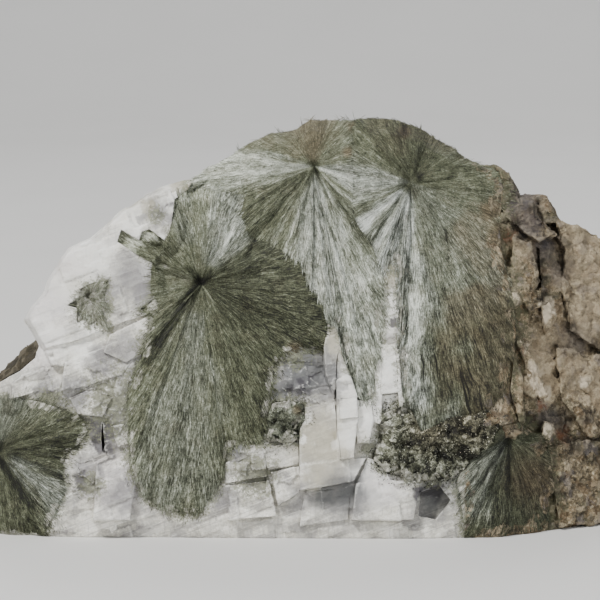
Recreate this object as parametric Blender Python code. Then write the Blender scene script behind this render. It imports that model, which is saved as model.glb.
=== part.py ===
"""A hedenbergite specimen: sprays of fibrous hedenbergite on white calcite, against brown skarn.

Metres, +Z up, with the origin under the middle of the flat base. The face is drawn in
millimetres on an upright sheet that an eye sees square on: u to the right, v up from the
front of the base, and w away from the eye. The eye looks down a little, so the sheet leans
back. Every outline below is a list of (u, v) points on that sheet.
"""

import math
import random

import bmesh
import bpy
from mathutils import Vector, noise

MM = 0.001
GAP = 0.3
VEIN_GAP = 0.4
CUT_REACH = 12.0
AIR_BLOCK = 0.4

# The eye and the sheet
EYE_DISTANCE = 600.0
EYE_HEIGHT = 48.0
EYE_TILT = math.radians(8.0)
ORIGIN_RIGHT = 0.8
ORIGIN_BACK = 24.2

# The whole rock
ROCK_MIDDLE = (0.0, 36.0)
LEAST_THICKNESS = 4.0
LUMP_LENGTH = 11.0
ROCK_OUTLINE = [
    (-64.4, -3), (-65.2, 8), (-65.6, 18), (-64, 26), (-60, 32.6), (-56, 36), (-52.4, 39.6),
    (-54.4, 44.8), (-52, 48.6), (-50, 52), (-48, 56), (-45.6, 58.8), (-41, 60.8), (-36, 65.6),
    (-32, 68), (-28, 70.6), (-23.6, 72), (-20, 73.2), (-18, 74.4), (-14, 76.6), (-10, 79.2),
    (-6, 81), (-1, 81.8), (2, 83.8), (8, 83.8), (14.4, 84.2), (19.2, 83.8), (24, 82.2),
    (28, 79.6), (31, 78), (32.6, 76.4), (39.4, 74.8), (42.4, 72), (44, 69), (49.6, 68.6),
    (51.6, 64.4), (56, 62.8), (60, 61.6), (66, 58), (70, 51), (71.6, 40), (71.2, 24),
    (69.6, 8), (68, -3),
]

# How far the face turns away at the rock's edge, by direction from the middle in degrees
EDGE_TURN = [(0, 6), (60, 11), (90, 12), (135, 9), (180, 10), (215, 7), (270, 4), (330, 5), (360, 6)]
EDGE_SHARPNESS = 6.0
RIGHT_SIDE_STARTS = 38.0
RIGHT_SIDE_SLOPE = 0.62
LEFT_SIDE_STARTS = -44.0
LEFT_SIDE_CURVE = 0.012
FACE_WAVE = 0.8
FACE_WAVE_LENGTH = 17.0
WALL_SET_BACK = 1.2
WALL_LUMPS = 2.2
WALL_LUMP_LENGTH = 6.5

# Broad hollows (deeper) and swells (negative) of the face: middle, radius, depth
FACE_FORMS = [
    ((1, 32.6), 4.6, 3.4), ((-7, 59), 4, 1.5), ((-40, 20.4), 4.5, 1.6), ((-31, 30), 3, 1.2),
    ((-16, 16), 4, 1.4), ((18, 51), 3.2, 1.0), ((-19.8, 51.4), 3, 0.8), ((31, 15.5), 4, 1.6),
    ((-22, 34), 17, -2.2), ((31, 48), 15, -2.4), ((7, 62), 10, -1.2), ((14, 78), 9, -1.0),
    ((9, 26), 8, -1.4), ((-44, 47), 9, -0.8),
]

# Calcite: the white vein that carries the sprays
VEIN_MIDDLE = (-8.0, 36.0)
VEIN_OUTLINE = [
    (-64.2, -3), (-65, 8), (-65.4, 18), (-63.6, 26), (-60, 31.6), (-56, 33.8), (-53, 36.4),
    (-52.2, 38.8), (-54.4, 44.8), (-52, 48.6), (-50, 52), (-48, 56), (-45.6, 58.8), (-41, 60.8),
    (-36, 65.6), (-32, 68), (-28, 70.6), (-23.6, 72), (-20, 72.2), (-14, 74.8), (-6, 78.8),
    (2, 81.4), (14, 81.8), (24, 79.4), (32, 73.6), (39, 69), (40, 62), (40.4, 54), (42, 46),
    (43, 38), (42, 30), (43.6, 24), (45, 18), (45.6, 8), (45, -3),
]

# Skarn: the brown wall rock behind the vein and at its right
WALL_OUTLINE = [
    (-63, -3), (-64, 10), (-64.2, 24), (-61.2, 31.6), (-58.6, 34.6), (-54.6, 38.4), (-51, 41.6),
    (-50, 48), (-45, 55), (-37, 62.4), (-28, 68), (-18, 72), (-6, 78), (2, 81), (14, 81.8),
    (24, 79.8), (32, 75.2), (39.4, 74.8), (42.4, 72), (44, 69), (49.6, 68.6), (51.6, 64.4),
    (56, 62.8), (60, 61.6), (66, 58), (70, 51), (71.6, 40), (71.2, 24), (69.6, 8), (68, -3),
]

# Cleavage blocks of the calcite: outline, lift over the face, climb away to the right and up
CLEAVAGE_BLOCKS = [
    # The bright face at the left and the steps under it
    ([(-54.2, 44.4), (-53, 46.8), (-50.6, 49.4), (-49.8, 51.8), (-47.4, 55.8), (-45.6, 58.4),
      (-41.2, 60.4), (-35, 65.6), (-29.6, 69.2), (-26, 70), (-22, 60), (-26, 48), (-30.8, 45),
      (-36, 43.4), (-45, 39.8), (-50.8, 38.4), (-51.4, 39.6)], 1.9, -0.06, 0.03),
    ([(-50.4, 42), (-30, 50), (-27.6, 43.6), (-39.2, 38.2), (-47.2, 35.2), (-49.6, 35),
      (-50.6, 37.6)], 1.0, -0.05, 0.02),
    ([(-38, 41), (-28, 46), (-26.8, 40.4), (-34.8, 35.6), (-39.2, 37.6)], 0.8, -0.04, 0),
    ([(-46.8, 35.6), (-38.4, 38.8), (-32, 37.6), (-35.6, 33.2), (-42.8, 30.8), (-47.6, 30)],
     0.7, -0.04, 0),
    # Small facets at its upper edge
    ([(-35.4, 65.2), (-33.2, 66.6), (-32.6, 63.2), (-35, 61.8)], 2.9, 0, 0.05),
    ([(-32.6, 66), (-30, 67.2), (-29.6, 65.2), (-30.4, 62), (-32, 61.6)], 2.5, 0, 0),
    ([(-26.8, 68.2), (-24.8, 69.8), (-23.6, 65.2), (-25.2, 63.6)], 3.0, 0, 0),
    ([(-24.4, 70.6), (-21.8, 71.6), (-19.8, 70.6), (-20.8, 67.2), (-23.6, 68)], 2.0, 0, 0),
    ([(-32.2, 55.6), (-28.6, 56.4), (-28.4, 52.8), (-30.8, 51.6)], 1.9, 0, 0),
    ([(-40.8, 60.2), (-36.4, 64.2), (-35.2, 60), (-39.6, 57.6)], 2.8, 0, 0.04),
    # Lumps and broken blocks below them
    ([(-55.6, 32.8), (-50.8, 34.4), (-48, 33.4), (-48.8, 30.8), (-55.6, 28.8), (-58, 28.2),
      (-57.6, 31.2)], 0.8, 0, 0),
    ([(-46, 28.4), (-41.6, 30.4), (-37.6, 28.4), (-39.6, 24.8), (-44.4, 25.2)], 0.9, 0, 0),
    ([(-40.6, 15.6), (-34, 18.6), (-32.6, 14), (-34, 4), (-41.2, 4)], 1.1, 0.03, 0.02),
    ([(-37.6, 22.8), (-34, 23.2), (-33.2, 19.6), (-36.4, 18.6)], 0.8, 0, 0),
    # The large block in the lower middle and the plates and columns beside it
    ([(0, 23.6), (0.8, 26.4), (6.6, 27.6), (7.6, 20), (8, 16.2), (13.2, 16.4), (10.8, 11.8),
      (0, 10)], 2.0, 0.02, 0.02),
    ([(7.2, 31.6), (9.2, 32.8), (11.6, 32), (11.4, 24), (10.8, 16.4), (8, 16.2), (7.6, 22)],
     2.9, 0.03, 0),
    ([(8, 28.4), (11.4, 28.8), (11.6, 24.6), (8.2, 24.2)], 3.5, 0.03, 0),
    ([(11.4, 28), (14.2, 28.2), (14.6, 24), (13.8, 19.4), (11.6, 19.4), (11, 24)], 2.3, 0.03, 0),
    ([(14.2, 35.2), (16.2, 36.4), (16.4, 28), (16.2, 23.2), (14.2, 24)], 1.8, 0.02, 0),
    ([(16.2, 39), (19.4, 39), (19.8, 29.6), (16.2, 29.2)], 1.6, 0.03, 0.02),
    ([(16.2, 28.8), (19.6, 29.2), (20.8, 27.2), (19.2, 24.8), (17.2, 20), (16, 22)], 1.2, 0.02, 0),
    ([(19.4, 38), (20.6, 38.6), (21, 28.4), (20, 25.6), (19.6, 32)], 1.8, 0, 0),
    ([(4.6, 42), (5.8, 43.4), (7.6, 43.4), (8.2, 39), (7.2, 35.6), (6.6, 28.4), (5.2, 33.2)],
     2.5, 0.03, 0.01),
    ([(8, 38.8), (9.2, 37.2), (11.2, 35.2), (11.6, 32.4), (9.2, 32.8), (7.4, 31.8)], 1.9, 0, 0),
    ([(-3.2, 34.8), (4.4, 36), (6, 32.8), (0, 30.8), (-2.4, 32.2)], 1.6, 0, 0.04),
    ([(-3.2, 23.2), (-0.2, 23.6), (-0.4, 19.6), (-3.4, 18.8)], 1.0, 0, 0),
    # The foot of the vein
    ([(-15.2, 15.2), (-7.6, 17.6), (-6.4, 12.6), (-14.8, 11.4)], 1.0, 0, 0),
    ([(-7.6, 18.4), (-0.4, 19.6), (-0.2, 15.2), (-6, 14)], 0.8, 0, 0),
    ([(-14.8, 10.8), (-6, 12), (-4.8, 4.8), (-14, 4)], 1.3, 0, 0),
    ([(-5.6, 13.6), (-0.2, 14.8), (0, 9.6), (-4.4, 6.8)], 1.5, 0, 0),
    ([(13.6, 16.4), (16.6, 15.4), (18, 12), (24, 11.2), (22.8, 4), (10.4, 4), (11.4, 11.6)],
     1.3, 0.02, 0.02),
    ([(0.8, 9.2), (10, 10.8), (9.6, 4), (0, 2.8)], 0.2, 0, 0),
    # The pale island between the middle and right sprays
    ([(16.8, 55.6), (19.6, 56.4), (20.4, 48), (19.6, 41.8), (17, 41.6), (16.2, 48)], 0.5, 0, 0),
]
BLOCK_ROOT = 9.0
BLOCK_DRAFT = 0.4
CLEFT_DRAFT = -0.2
BLOCK_LEAN = (-0.5, -0.3)

# Dark clefts in the calcite: outline and depth
CLEFTS = [
    ([(-32.2, 28), (-31.4, 32), (-29.6, 32.8), (-30.4, 29.6), (-31.6, 27.4)], 3.0),
    ([(-40.4, 20), (-39.8, 23.8), (-38.8, 23.2), (-38.4, 19), (-39.2, 17.2)], 2.6),
    ([(-19, 15.6), (-18, 19.2), (-16.8, 18.8), (-17.6, 14.4)], 2.6),
    ([(-14.8, 18.8), (-14, 21.2), (-12.4, 20.4), (-13.2, 17.6)], 2.4),
    ([(-7.6, 28.8), (-6.4, 34.8), (-4.8, 33.6), (-6.4, 28)], 2.6),
    ([(24, 9.6), (28, 11.2), (30.4, 8), (27.2, 4), (23.6, 4.8)], 3.4),
]

# Ledges, chips and a ridge of the wall rock: the same values as for the cleavage blocks
LEDGES = [
    ([(39.6, 74.4), (41.4, 73.4), (42.4, 71.8), (43.8, 68.4), (46.4, 67.4), (47.2, 64.8),
      (49.6, 62.8), (51.2, 61.2), (48, 59.8), (44.8, 61.6), (41, 65), (39.6, 68)], 2.6, 0.05, 0.05),
    ([(47.4, 68.4), (49.4, 68.4), (51, 65), (52.4, 63.4), (49, 63.6)], 1.2, 0, 0.05),
    ([(51.6, 63.4), (55.6, 62.6), (60, 60.6), (68, 54.4), (69.6, 42), (60, 38), (54.4, 42),
      (52.4, 51), (53.2, 58)], 1.8, 0.5, 0.03),
    ([(42.8, 60), (46, 59.4), (46.8, 55.6), (49, 48), (46, 45.6), (42.4, 51.6)], 1.5, 0.4, 0),
    ([(41.6, 49.4), (42.8, 50), (44, 47.6), (42.4, 46.4)], 2.3, 0.3, 0),
    ([(48.2, 46.8), (49.8, 47.6), (51.4, 44.4), (49.2, 41.2)], 1.9, 0.5, 0),
    ([(56, 32.6), (58, 32.6), (57.6, 29.4), (56, 30.2)], 1.6, 0.5, 0),
    ([(49, 23.6), (50.2, 23.2), (49.8, 20), (48.6, 20.6)], 1.6, 0.5, 0),
    ([(42.8, 40.4), (43.4, 41.4), (47, 35.6), (49.4, 28.8), (48.2, 28.2), (46.2, 33.6)],
     1.9, 0.5, 0),
    ([(44.8, 32.8), (46.8, 33.2), (48.2, 30.8), (46.8, 28.4), (44.8, 29.6)], 1.7, 0.5, 0),
    ([(51.2, 39.2), (58, 36.8), (67.2, 38), (66.4, 22), (58, 20.8), (52.4, 28)], 1.6, 0.6, 0.02),
    ([(49.6, 18.8), (58, 20), (67.2, 18.8), (66.8, 4), (52, 2.8)], 1.5, 0.6, 0),
    ([(38.8, 36.8), (42.4, 37.6), (44.4, 32.4), (44.8, 24), (40.8, 21.6), (40, 29.6)],
     1.4, 0.2, 0),
]
CREVICES = [
    ([(47, 58.8), (48, 58.4), (48.4, 50.4), (47.4, 50)], 3.4),
    ([(50.4, 36.4), (51.2, 37), (52.6, 31), (51.8, 30.6)], 2.6),
    ([(52.4, 25.4), (54.6, 24.6), (54.2, 20.4), (52.2, 21.6)], 2.2),
]

# Broken faces of the wall rock: degrees round from the back, degrees of rise, and the
# distance from a point in its heart, which is given as (u, v, w)
WALL_HEART = (0.2, 42.8, 29.5)
BROKEN_FACES = [
    (-8, 6, 24.5), (42, 4, 42), (-38, -3, 41), (6, 48, 35), (52, 36, 44), (-46, 40, 43),
    (94, 5, 66), (14, -34, 33), (-84, 12, 65),
]

# The three large sprays: where the needles start, then the outline that their tips reach
LEFT_CENTRE = (-19.8, 51.4)
LEFT_OUTLINE = [
    (1.6, 51.4), (4.4, 47.4), (5.2, 42.4), (4.4, 38.4), (0, 39), (-3.6, 37.6), (-5.8, 34.4),
    (-6.4, 28), (-6.8, 23), (-8.4, 19.6), (-12, 20), (-14.8, 18.4), (-16, 12), (-19, 8),
    (-20, 5.6), (-24, 6), (-28, 6.8), (-31.4, 9.6), (-33.2, 14.4), (-33.8, 20), (-34, 28),
    (-32.4, 34), (-30.8, 38), (-29.6, 41.6), (-28.8, 44.4), (-31.4, 46.2), (-29, 48),
    (-29.6, 50.4), (-29.4, 53.6), (-29, 55.6), (-32, 57.2), (-36.2, 59.8), (-35.6, 61.6),
    (-32, 59.4), (-31.4, 61.4), (-30.2, 61.8), (-27, 59.4), (-25.6, 61.6), (-25.2, 65),
    (-24.8, 68), (-22.8, 69.4), (-19, 70), (-15, 69), (-11, 69.2), (-12, 65), (-10, 60),
    (-6, 59.2), (-2.8, 57.2), (0.2, 55.2),
]
MIDDLE_CENTRE = (2.8, 74.8)
MIDDLE_OUTLINE = [
    (9.8, 83.4), (10.2, 80), (10.4, 76), (10.4, 72), (10.4, 67), (11.6, 62.4), (14.6, 58),
    (16.4, 53), (16.4, 48), (15.8, 42), (15.6, 37), (14.6, 33.6), (14.4, 29.6), (13.2, 28),
    (11.8, 28.8), (10.2, 33.6), (8.8, 37), (7.6, 42.8), (5.6, 43.6), (4, 42.2), (2.4, 45.2),
    (2.2, 48), (0.4, 51.6), (0, 55.6), (-3, 55.6), (-7.6, 58), (-12, 60), (-13.6, 64.4),
    (-12.8, 68), (-19, 68.8), (-22.4, 69.6), (-20.8, 72.4), (-18.2, 74.4), (-14, 76.6),
    (-10, 79.2), (-6, 81), (-1, 81.8), (2, 83.8), (6, 83.8),
]
RIGHT_CENTRE = (22.2, 71.0)
RIGHT_OUTLINE = [
    (9, 83.8), (14.4, 84.2), (19.2, 83.8), (24, 82.2), (28, 79.6), (31, 78), (32.6, 76.4),
    (35.6, 74.8), (39.4, 73.6), (40.4, 70), (39.6, 65), (39, 60.4), (40.4, 56.4), (41.6, 51.4),
    (42.4, 47), (43, 41.4), (42, 36.8), (41, 31), (38.4, 27), (34.8, 25.2), (30.8, 24.8),
    (27.6, 23.2), (24.2, 21.6), (22.4, 25.6), (20.8, 29), (20.2, 36), (20.4, 42), (20, 48),
    (20.2, 54), (19.2, 56.8), (17.6, 56), (16.6, 52.8), (15.2, 54.4), (13.2, 58), (10.4, 61.6),
    (9.2, 66), (8.8, 71), (8.6, 76), (8.6, 80),
]

# The smaller sprays and the two granular growths
LOWER_LEFT_CENTRE = (-60.4, 18.0)
LOWER_LEFT_OUTLINE = [
    (-66, 18), (-65.4, 23), (-63.6, 26.6), (-60, 27.8), (-56, 28), (-52, 27.4), (-48, 26),
    (-43.6, 24), (-42.8, 21.6), (-44.8, 18.8), (-47.2, 17.6), (-48, 14), (-47.2, 10), (-49, 6),
    (-51.6, 1), (-54, -2.6), (-60, -2.6), (-65.2, -2.6), (-66.2, 8),
]
LOWER_RIGHT_CENTRE = (41.6, 20.6)
LOWER_RIGHT_OUTLINE = [
    (40, 22.4), (44, 23.2), (47.6, 20.4), (49.2, 15), (49.6, 8), (49, -2.6), (40, -2.6),
    (34, -2.6), (32.4, 8), (31.6, 12), (33, 14.4), (35.6, 17), (38, 19.4),
]
TUFT_CENTRE = (-42.0, 48.6)
TUFT_OUTLINE = [
    (-41.4, 51), (-38.8, 51.4), (-39.4, 49.6), (-39.6, 48), (-38.4, 46.4), (-39.8, 45.4),
    (-38.6, 42.4), (-40.6, 44.4), (-42, 43.4), (-43, 45.2), (-44.4, 43.8), (-44.2, 46.6),
    (-46.2, 47), (-44, 48.2), (-43.6, 50),
]
CRUST_CENTRE = (26.0, 18.6)
CRUST_OUTLINE = [
    (16.6, 25), (20, 26.4), (22.6, 25.8), (28, 25), (32, 26.4), (36, 26.8), (39.2, 24),
    (40, 21.6), (37.2, 18.8), (34, 16), (31, 13.2), (27, 12.2), (22, 12.4), (17.2, 14),
    (14.8, 16.4), (15.6, 18.6), (16.2, 21.4),
]
PATCH_CENTRE = (-2.6, 23.6)
PATCH_OUTLINE = [
    (-5.2, 27.2), (-2, 27.6), (0.6, 26.8), (0.6, 24.2), (-0.6, 22), (-0.8, 19.8), (-4, 20),
    (-6.4, 19.8), (-6.4, 23),
]

# A growth rounds up from its centre to a crest and down to its rim, over a root in the rock
SPRAY_PROUD = 1.1
CRUST_PROUD = 2.6
PATCH_PROUD = 1.8
TUFT_PROUD = 1.6
CREST_FROM = 0.12
CREST_SPAN = 0.70
CENTRE_PIT = 0.9
PIT_SHARE = 0.12
RIDGE = 0.55
RIDGE_FULL_AT = 0.45
RIM_SHARE = 0.35
SPRAY_ROOT = 5.5
ROOT_FOLLOWS_FACE = 0.45
EDGE_ROOT = 6.0
CRUST_RINGS = (0.25, 0.5, 0.75, 0.92, 1.0)
RING_CROWDING = 1.15

# How finely the outlines are walked, and the rings (shares of the outline) that skin the bodies
SPRAY_STEP = 3.0
CRUST_STEP = 2.4
VEIN_STEP = 6.0
WALL_STEP = 5.0
VEIN_FRONT_RINGS = (0.25, 0.45, 0.62, 0.76, 0.88, 0.96, 1.0)
VEIN_BACK_RINGS = ((0.985, 16.0), (0.97, 20.0), (0.5, 22.0), (0, 22.0))
WALL_FRONT_RINGS = (0.3, 0.58, 0.68, 0.77, 0.86, 0.94, 1.0)
WALL_BACK_RINGS = ((0.99, 26.0), (0.96, 38.0), (0.9, 48.0), (0.6, 56.0), (0, 55.0))
WALL_BACK_LUMPS = 3.0

# Colours (linear red, green, blue) and roughness
CALCITE_WHITE = ((0.58, 0.56, 0.53), 0.45)
SKARN_BROWN = ((0.26, 0.21, 0.15), 0.8)
OLIVE = ((0.16, 0.17, 0.11), 0.6)
SILVER_GREEN = ((0.30, 0.32, 0.26), 0.5)
DARK_CRUST = ((0.10, 0.10, 0.07), 0.8)


def place(u, v, w):
    """The point in metres that the eye sees at (u, v) on the sheet, w behind it."""
    spread = 1 + w / EYE_DISTANCE
    rise = (v - EYE_HEIGHT) * spread
    x = u * spread - ORIGIN_RIGHT
    y = w * math.cos(EYE_TILT) + rise * math.sin(EYE_TILT) - ORIGIN_BACK
    z = (EYE_HEIGHT + rise) * math.cos(EYE_TILT) - w * math.sin(EYE_TILT)
    return Vector((x, y, z)) * MM


def steps(low, high, value):
    """0 below low, 1 above high, and a straight climb between."""
    return min(1.0, max(0.0, (value - low) / (high - low)))


def by_direction(table, degrees):
    """Reads a table of (direction, value) pairs."""
    degrees %= 360
    for (a, low), (b, high) in zip(table, table[1:]):
        if a <= degrees <= b:
            return low + (high - low) * steps(a, b, degrees)
    return table[0][1]


def reach(outline, middle, du, dv):
    """How far the outline lies from middle along the direction (du, dv), in lengths of it."""
    furthest = 0.0
    for (u0, v0), (u1, v1) in zip(outline, outline[1:] + outline[:1]):
        eu, ev = u1 - u0, v1 - v0
        cross = du * ev - dv * eu
        if abs(cross) < 1e-12:
            continue
        ou, ov = u0 - middle[0], v0 - middle[1]
        along = (ou * ev - ov * eu) / cross
        share = (ou * dv - ov * du) / cross
        if along > 0 and -1e-9 <= share <= 1 + 1e-9:
            furthest = max(furthest, along)
    return furthest


def share_of_rock(u, v):
    """0 in the middle of the rock's face and 1 on its outline."""
    du, dv = u - ROCK_MIDDLE[0], v - ROCK_MIDDLE[1]
    if math.hypot(du, dv) < 1e-6:
        return 0.0
    return min(1.0, 1 / max(reach(ROCK_OUTLINE, ROCK_MIDDLE, du, dv), 1e-6))


def face_depth(u, v):
    """How far behind the sheet the rock's face lies."""
    share = share_of_rock(u, v)
    direction = math.degrees(math.atan2(v - ROCK_MIDDLE[1], u - ROCK_MIDDLE[0]))
    turn = by_direction(EDGE_TURN, direction)
    depth = turn * (1 - math.sqrt(1 - share**EDGE_SHARPNESS))
    depth += RIGHT_SIDE_SLOPE * max(0.0, u - RIGHT_SIDE_STARTS)
    depth += LEFT_SIDE_CURVE * min(0.0, u - LEFT_SIDE_STARTS) ** 2
    for (fu, fv), radius, form in FACE_FORMS:
        near = ((u - fu) ** 2 + (v - fv) ** 2) / radius**2
        depth += form * math.exp(-near)
    wave = noise.noise(Vector((u / FACE_WAVE_LENGTH, v / FACE_WAVE_LENGTH, 0.7)))
    return depth + FACE_WAVE * wave


def wall_depth(u, v):
    """How far behind the sheet the wall rock's front lies, lumpy where it shows."""
    lumps = noise.noise(Vector((u, v, 3.1)) / WALL_LUMP_LENGTH)
    return face_depth(u, v) + WALL_SET_BACK + WALL_LUMPS * lumps


def root_depth(u, v):
    """How far behind the sheet a growth's back lies."""
    followed = ROOT_FOLLOWS_FACE * face_depth(u, v)
    return SPRAY_ROOT + followed + EDGE_ROOT * share_of_rock(u, v) ** 4


def walk(outline, step):
    """Points along a closed outline, its own corners kept, no more than step apart."""
    points = []
    for (u0, v0), (u1, v1) in zip(outline, outline[1:] + outline[:1]):
        parts = max(1, round(math.hypot(u1 - u0, v1 - v0) / step))
        for part in range(parts):
            share = part / parts
            points.append((u0 + (u1 - u0) * share, v0 + (v1 - v0) * share))
    return points


def grown(outline, by):
    """The outline moved outwards by a small distance, whichever way round it runs."""
    count = len(outline)
    pairs = zip(outline, outline[1:] + outline[:1])
    turn = sum(u0 * v1 - u1 * v0 for (u0, v0), (u1, v1) in pairs)
    side = by if turn < 0 else -by
    moved = []
    for i, (u, v) in enumerate(outline):
        before, after = outline[i - 1], outline[(i + 1) % count]
        a = Vector((u - before[0], v - before[1])).normalized()
        b = Vector((after[0] - u, after[1] - v)).normalized()
        normal = (Vector((-a.y, a.x)) + Vector((-b.y, b.x))) / 2
        normal /= max(normal.length_squared, 0.25)
        moved.append((u + normal.x * side, v + normal.y * side))
    return moved


def material(name, finish):
    colour, roughness = finish
    made = bpy.data.materials.new(name)
    made.use_nodes = True
    shader = made.node_tree.nodes["Principled BSDF"]
    shader.inputs["Base Color"].default_value = (*colour, 1)
    shader.inputs["Roughness"].default_value = roughness
    return made


def finished(name, bm):
    """An object in the scene made of a drawn-up mesh."""
    mesh = bpy.data.meshes.new(name)
    bm.to_mesh(mesh)
    bm.free()
    made = bpy.data.objects.new(name, mesh)
    bpy.context.scene.collection.objects.link(made)
    return made


def closed_mesh(name, loops, first, last):
    """An object skinned over loops of equal length, with an end point closing each end."""
    bm = bmesh.new()
    start = bm.verts.new(first)
    rings = [[bm.verts.new(point) for point in loop] for loop in loops]
    end = bm.verts.new(last)
    count = len(rings[0])
    for i in range(count):
        j = (i + 1) % count
        bm.faces.new((start, rings[0][i], rings[0][j]))
        bm.faces.new((end, rings[-1][j], rings[-1][i]))
        for here, there in zip(rings, rings[1:]):
            bm.faces.new((here[i], there[i], there[j]))
            bm.faces.new((here[i], there[j], here[j]))
    bmesh.ops.recalc_face_normals(bm, faces=bm.faces)
    return finished(name, bm)


def towards(middle, point, share):
    return (
        middle[0] + (point[0] - middle[0]) * share,
        middle[1] + (point[1] - middle[1]) * share,
    )


def body(name, middle, rim, front_shares, back_profile, front, roughness=0.0):
    """A closed rock body: its front follows a depth, and (share, depth) pairs give its back."""
    loops = []
    for share in front_shares:
        ring = [towards(middle, point, share) for point in rim]
        loops.append([place(u, v, front(u, v)) for u, v in ring])
    nearest = [face_depth(u, v) for u, v in rim]
    for step, (share, depth) in enumerate(back_profile[:-1]):
        ring = []
        for point, near in zip(rim, nearest):
            u, v = towards(middle, point, share)
            lump = roughness * noise.noise(Vector((u, v, depth)) / LUMP_LENGTH)
            ring.append(place(u, v, max(depth + lump, near + LEAST_THICKNESS * (step + 1))))
        loops.append(ring)
    first = place(*middle, front(*middle))
    last = place(*middle, back_profile[-1][1])
    return closed_mesh(name, loops, first, last)


def growth(name, centre, rim, shares, front, back):
    """A closed solid whose front is ringed about its centre and whose back is plain."""
    loops = []
    for share in shares:
        ring = [(i, towards(centre, point, share)) for i, point in enumerate(rim)]
        loops.append([place(u, v, front(i, share, u, v)) for i, (u, v) in ring])
    loops.append([place(u, v, back(u, v)) for u, v in rim])
    first = place(*centre, front(0, 0.0, *centre))
    last = place(*centre, back(*centre))
    return closed_mesh(name, loops, first, last)


def spray_front(seed, rays, proud):
    """A spray's front: bundles of needles that climb and drop from ray to ray."""
    draw = random.Random(seed)
    heights = [draw.uniform(-1, 1) for _ in range(rays)]

    def front(ray, share, u, v):
        rounded = math.sin(math.pi * (CREST_FROM + CREST_SPAN * share))
        pit = CENTRE_PIT * (1 - steps(0.0, PIT_SHARE, share))
        ridge = RIDGE * heights[ray] * steps(0.0, RIDGE_FULL_AT, share)
        return face_depth(u, v) - proud * rounded + pit - ridge

    return front


def crust_front(seed, proud):
    """A granular growth's front: lumps that differ at every point."""
    draw = random.Random(seed)
    lumps = {}

    def front(ray, share, u, v):
        if (ray, share) not in lumps:
            lumps[ray, share] = draw.uniform(-1, 1)
        rounded = RIM_SHARE + (1 - RIM_SHARE) * math.cos(math.pi / 2 * share**3)
        return face_depth(u, v) - proud * rounded - RIDGE * lumps[ray, share]

    return front


def as_helper(made):
    made.hide_render = True
    made.display_type = "WIRE"
    return made


def group(name, members):
    """A collection that a Boolean can name, holding helpers that the scene also keeps."""
    made = bpy.data.collections.new(name)
    bpy.context.scene.collection.children.link(made)
    for member in members:
        made.objects.link(member)
    return made


def boolean(target, operation, collection):
    modifier = target.modifiers.new(collection.name, "BOOLEAN")
    modifier.operation = operation
    modifier.solver = "EXACT"
    modifier.operand_type = "COLLECTION"
    modifier.collection = collection


def grow_spray(name, centre, outline, seed, finish, proud, rings):
    """A spray of needles and the helper that clears its place in what lies behind it."""
    shares = [((ring + 1) / rings) ** RING_CROWDING for ring in range(rings)]
    rim = walk(outline, SPRAY_STEP)
    front = spray_front(seed, len(rim), proud)
    made = growth(name, centre, rim, shares, front, root_depth)
    made.data.materials.append(material(name, finish))
    return made, clearance(name, centre, rim)


def grow_crust(name, centre, outline, seed, finish, proud):
    """A granular growth and the helper that clears its place."""
    rim = walk(outline, CRUST_STEP)
    made = growth(name, centre, rim, CRUST_RINGS, crust_front(seed, proud), root_depth)
    made.data.materials.append(material(name, finish))
    return made, clearance(name, centre, rim)


def clearance(name, centre, rim):
    """The room that a growth takes out of its neighbours: its outline and root, and a gap."""

    def ahead(ray, share, u, v):
        return face_depth(u, v) - CUT_REACH

    def behind(u, v):
        return root_depth(u, v) + GAP

    return as_helper(growth(name + "_room", centre, grown(rim, GAP), (0.4, 1.0), ahead, behind))


def prism(name, corners, near, far, slope=(0.0, 0.0), draft=0.0, lean=(0.0, 0.0)):
    """A straight-sided block: its front outline at a depth, and its root wider by the draft."""
    count = len(corners)
    middle = (sum(u for u, v in corners) / count, sum(v for u, v in corners) / count)
    bm = bmesh.new()
    layers = []
    for depth, outline, shift in ((near, corners, (0.0, 0.0)), (far, grown(corners, draft), lean)):
        layer = []
        for u, v in outline:
            tilt = slope[0] * (u - middle[0]) + slope[1] * (v - middle[1])
            layer.append(bm.verts.new(place(u + shift[0], v + shift[1], depth + tilt)))
        layers.append(layer)
    front, root = layers
    bm.faces.new(front)
    bm.faces.new(root[::-1])
    for i in range(count):
        j = (i + 1) % count
        bm.faces.new((front[j], front[i], root[i], root[j]))
    bmesh.ops.recalc_face_normals(bm, faces=bm.faces)
    return as_helper(finished(name, bm))


def standing_blocks(name, rows):
    """Blocks that stand out of the face, rooted in the rock."""
    made = []
    for number, (corners, lift, right, up) in enumerate(rows):
        middle_u = sum(u for u, v in corners) / len(corners)
        middle_v = sum(v for u, v in corners) / len(corners)
        near = face_depth(middle_u, middle_v) - lift
        root = near + BLOCK_ROOT
        slope = (right, up)
        made.append(prism(f"{name}_{number}", corners, near, root, slope, BLOCK_DRAFT, BLOCK_LEAN))
    return made


def sunk_clefts(name, rows):
    """What is taken out of the face where it is split."""
    made = []
    for number, (corners, depth) in enumerate(rows):
        middle_u = sum(u for u, v in corners) / len(corners)
        middle_v = sum(v for u, v in corners) / len(corners)
        far = face_depth(middle_u, middle_v) + depth
        made.append(prism(f"{name}_{number}", corners, far - depth - CUT_REACH, far, draft=CLEFT_DRAFT))
    return made


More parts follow.
